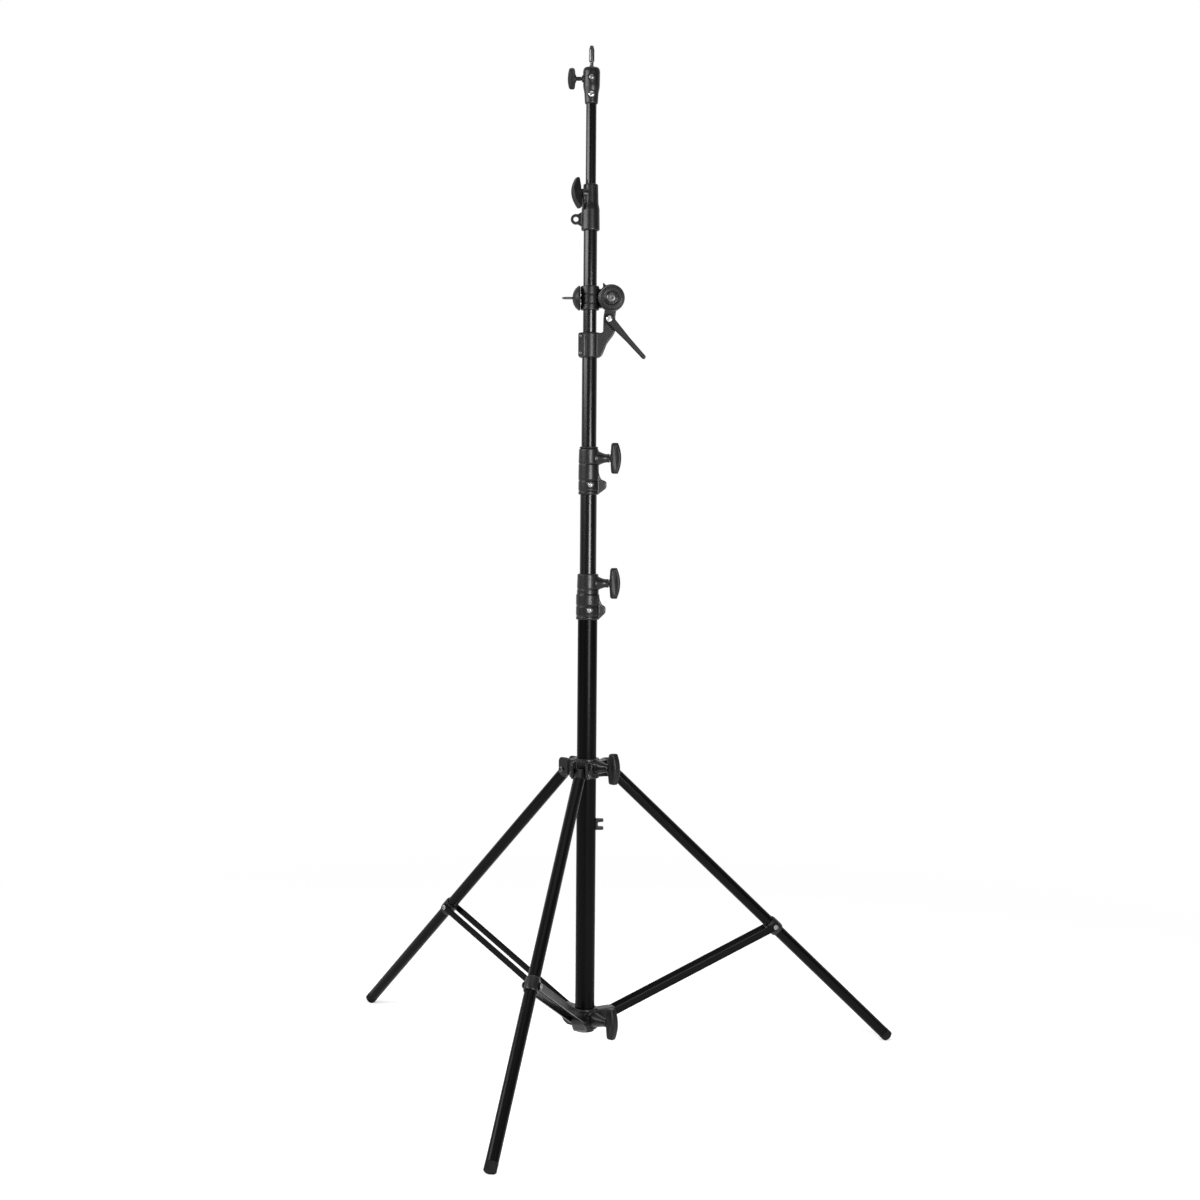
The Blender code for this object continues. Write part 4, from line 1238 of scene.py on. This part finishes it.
def cross_bolt(shank_r, head_r, grip, head):
    """Bolt along Y with a domed head beyond the grip on both sides and a key hole in each."""
    bolt = turned(
        [
            (0, -grip - head),
            (head_r * 0.66, -grip - head),
            (head_r, -grip - head * 0.50),
            (head_r, -grip),
            (shank_r, -grip),
            (shank_r, grip),
            (head_r, grip),
            (head_r, grip + head * 0.50),
            (head_r * 0.66, grip + head),
            (0, grip + head),
        ],
        0.0006,
        SCREW_STEPS,
    )
    keys = [
        shifted(rod(head_r * 0.38, -0.0012, 0.0012, steps=KEY_SIDES), z=side * (grip + head))
        for side in (1, -1)
    ]
    return along_y(combined(bolt, keys, "DIFFERENCE"))


def make_leg(label):
    pivot = joint_at(f"leg_{label}_hinge")
    joint = joint_at(f"brace_{label}_hinge")
    heading = Matrix.Rotation(math.atan2(pivot.y, pivot.x), 4, "Z")
    down = (joint - pivot).normalized()
    lean = math.acos(-down.z)
    end = (pivot.z - LEG_END_HEIGHT) / math.cos(lean)
    at_pivot = Matrix.Translation(pivot) @ heading
    to_world = at_pivot @ Matrix.Rotation(-lean, 4, "Y")
    reach = math.hypot(pivot.x, pivot.y)
    to_leg = Matrix.Rotation(lean, 4, "Y") @ Matrix.Translation((-reach, 0, -pivot.z))
    anodised = tube_finish(f"anodised_leg_{label}", down, 0.30)
    tube = turned(
        [
            (LEG_R, -(end - FOOT_LENGTH) + PIN_GAP),
            (LEG_R, -LEG_CAP_LENGTH - PIN_GAP),
            (LEG_BORE, -LEG_CAP_LENGTH - PIN_GAP),
            (LEG_BORE, -(end - FOOT_LENGTH) + PIN_GAP),
        ],
        0.0004,
    )
    dress(f"leg_{label}_tube", moved(tube, to_world), anodised)
    dress(f"leg_{label}_cap", moved(leg_cap(), to_world), enamel)
    dress(f"leg_{label}_foot", moved(leg_foot(end, to_leg), to_world), rubber)
    at_joint = to_world @ Matrix.Translation((0, 0, -(joint - pivot).length))
    dress(f"leg_{label}_clip", moved(brace_clip(), at_joint), enamel)
    bolt = cross_bolt(BRACE_BOLT_R, 0.0049, STRIP_OUTER + PIN_GAP, 0.0026)
    dress(f"leg_{label}_brace_bolt", moved(bolt, at_joint), plain_steel)
    pin = cross_bolt(PIVOT_PIN_R, 0.0055, FORK_OUTER + PIN_GAP, 0.0030)
    dress(f"leg_{label}_pivot_bolt", moved(pin, at_pivot), dark_steel)
    make_braces(label, joint, heading)


def make_braces(label, joint, heading):
    """The two strips from a leg's brace bolt to the spider's ear."""
    joint_r = math.hypot(joint.x, joint.y)
    span_r, span_z = BRACE_FOOT_R - joint_r, BRACE_FOOT_Z - joint.z
    turn = heading @ Matrix.Rotation(-math.atan2(span_z, span_r), 4, "Y")
    to_brace = Matrix.Translation(joint) @ turn
    brace_axis = turn @ Vector((1, 0, 0))
    satin = tube_finish(f"anodised_brace_{label}", brace_axis, 0.25)
    for side, letter in ((1, "a"), (-1, "b")):
        strip = brace_strip(math.hypot(span_r, span_z), side)
        dress(f"brace_{label}_strip_{letter}", moved(strip, to_brace), satin)


# Studio


def white_where_seen(nodes, links, strength_else):
    """Strength 1 for camera, glossy and transmission rays, and the given one for the rest."""
    path = nodes.new("ShaderNodeLightPath").outputs
    seen = maths(nodes, links, "MAXIMUM", path["Is Camera Ray"], path["Is Glossy Ray"])
    seen = maths(nodes, links, "MAXIMUM", seen, path["Is Transmission Ray"])
    return ramp(nodes, links, seen, 0.0, 1.0, low=strength_else)


def make_world():
    """White surroundings, with a dim room on the camera's side of the stand in reflections."""
    world = bpy.data.worlds.new("studio")
    bpy.context.scene.world = world
    world.use_nodes = True
    nodes, links = world.node_tree.nodes, world.node_tree.links
    background = nodes["Background"]
    background.inputs["Color"].default_value = (1.0, 1.0, 1.0, 1.0)
    coords = nodes.new("ShaderNodeTexCoord")
    split = nodes.new("ShaderNodeSeparateXYZ")
    links.new(coords.outputs["Generated"], split.inputs["Vector"])
    room = ramp(nodes, links, split.outputs["Y"], ROOM_FULL, ROOM_END, low=ROOM_LEVEL)
    path = nodes.new("ShaderNodeLightPath")
    mirrored = nodes.new("ShaderNodeMix")
    mirrored.inputs["A"].default_value = 1.0
    links.new(path.outputs["Is Glossy Ray"], mirrored.inputs["Factor"])
    links.new(room, mirrored.inputs["B"])
    white = white_where_seen(nodes, links, WORLD_LIGHT)
    level = maths(nodes, links, "MULTIPLY", white, mirrored.outputs["Result"])
    links.new(level, background.inputs["Strength"])


def make_floor():
    """White floor that keeps a soft shadow near the stand and runs into the white background."""
    bm = bmesh.new()
    bmesh.ops.create_grid(bm, x_segments=1, y_segments=1, size=20.0)
    mesh = bpy.data.meshes.new("studio_floor")
    bm.to_mesh(mesh)
    bm.free()
    floor = bpy.data.objects.new("studio_floor", mesh)
    bpy.context.scene.collection.objects.link(floor)
    material = bpy.data.materials.new("studio_white")
    material.use_nodes = True
    nodes, links = material.node_tree.nodes, material.node_tree.links
    paint = nodes["Principled BSDF"]
    paint.inputs["Base Color"].default_value = (0.86, 0.86, 0.86, 1.0)
    paint.inputs["Roughness"].default_value = 0.9
    paint.inputs["Specular IOR Level"].default_value = 0.0
    coords = nodes.new("ShaderNodeTexCoord")
    distance = nodes.new("ShaderNodeVectorMath")
    distance.operation = "LENGTH"
    links.new(coords.outputs["Object"], distance.inputs[0])
    fade = ramp(nodes, links, distance.outputs["Value"], SHADOW_FULL, SHADOW_END)
    fade.node.interpolation_type = "SMOOTHSTEP"
    glow = nodes.new("ShaderNodeEmission")
    links.new(white_where_seen(nodes, links, FLOOR_GLOW), glow.inputs["Strength"])
    lift = nodes.new("ShaderNodeEmission")
    lift_strength = nodes.new("ShaderNodeMath")
    lift_strength.operation = "MULTIPLY"
    lift_strength.inputs[1].default_value = FLOOR_LIFT
    links.new(white_where_seen(nodes, links, 0.0), lift_strength.inputs[0])
    links.new(lift_strength.outputs["Value"], lift.inputs["Strength"])
    near = nodes.new("ShaderNodeAddShader")
    links.new(paint.outputs["BSDF"], near.inputs[0])
    links.new(lift.outputs["Emission"], near.inputs[1])
    blend = nodes.new("ShaderNodeMixShader")
    links.new(fade, blend.inputs["Fac"])
    links.new(near.outputs["Shader"], blend.inputs[1])
    links.new(glow.outputs["Emission"], blend.inputs[2])
    links.new(blend.outputs["Shader"], nodes["Material Output"].inputs["Surface"])
    mesh.materials.append(material)


def area_lamp(name, place, target, width, height, power):
    """Soft rectangular lamp that faces a target, in metres and watts."""
    data = bpy.data.lights.new(name, "AREA")
    data.shape = "RECTANGLE"
    data.size = width
    data.size_y = height
    data.energy = power
    lamp = bpy.data.objects.new(name, data)
    lamp.location = place
    lamp.rotation_euler = (Vector(target) - Vector(place)).to_track_quat("-Z", "Y").to_euler()
    bpy.context.scene.collection.objects.link(lamp)


def make_lamps():
    area_lamp("left_softbox", (-1.99, -0.93, 1.99), (0, 0, 1.99), 2.20, 0.96, 70.0)
    area_lamp("left_strip", (-1.99, -1.15, 1.02), (0, 0, 1.02), 0.30, 0.90, 1.0)
    area_lamp("right_strip", (0.98, -2.42, 1.02), (0, 0, 1.02), 0.80, 0.88, 84.0)
    area_lamp("top_fill", (0.3, -0.2, 3.6), (0, 0, 0), 2.4, 2.4, 30.0)


def make_camera():
    """The photograph's viewpoint, fitted to its 1200 x 1200 frame."""
    photo_width = 1200
    focal_pixels = 1939.2
    centre_pixel = (587.82, 588.36)
    pitch, roll = math.radians(2.77), 0.00735
    viewpoint = (0, -3.463, 1.028)
    data = bpy.data.cameras.new("photo_camera")
    data.sensor_width = 36.0
    data.lens = focal_pixels / photo_width * data.sensor_width
    data.shift_x = 0.5 - centre_pixel[0] / photo_width
    data.shift_y = centre_pixel[1] / photo_width - 0.5
    data.clip_end = 80.0
    level_right = Vector((1, 0, 0))
    level_up = Vector((0, math.sin(pitch), math.cos(pitch)))
    right = level_right * math.cos(roll) + level_up * math.sin(roll)
    up = level_up * math.cos(roll) - level_right * math.sin(roll)
    turn = Matrix((right, up, right.cross(up))).transposed()
    camera = bpy.data.objects.new("photo_camera", data)
    camera.matrix_world = Matrix.Translation(viewpoint) @ turn.to_4x4()
    bpy.context.scene.collection.objects.link(camera)
    bpy.context.scene.camera = camera


make_mast()
make_bracket()
make_clamp()
make_boom()
make_head()
make_hub()
make_spider()
make_fork_lug()
for leg_name in LEG_NAMES:
    make_leg(leg_name)
make_world()
make_floor()
make_lamps()
make_camera()
bpy.context.scene.view_settings.view_transform = "Standard"
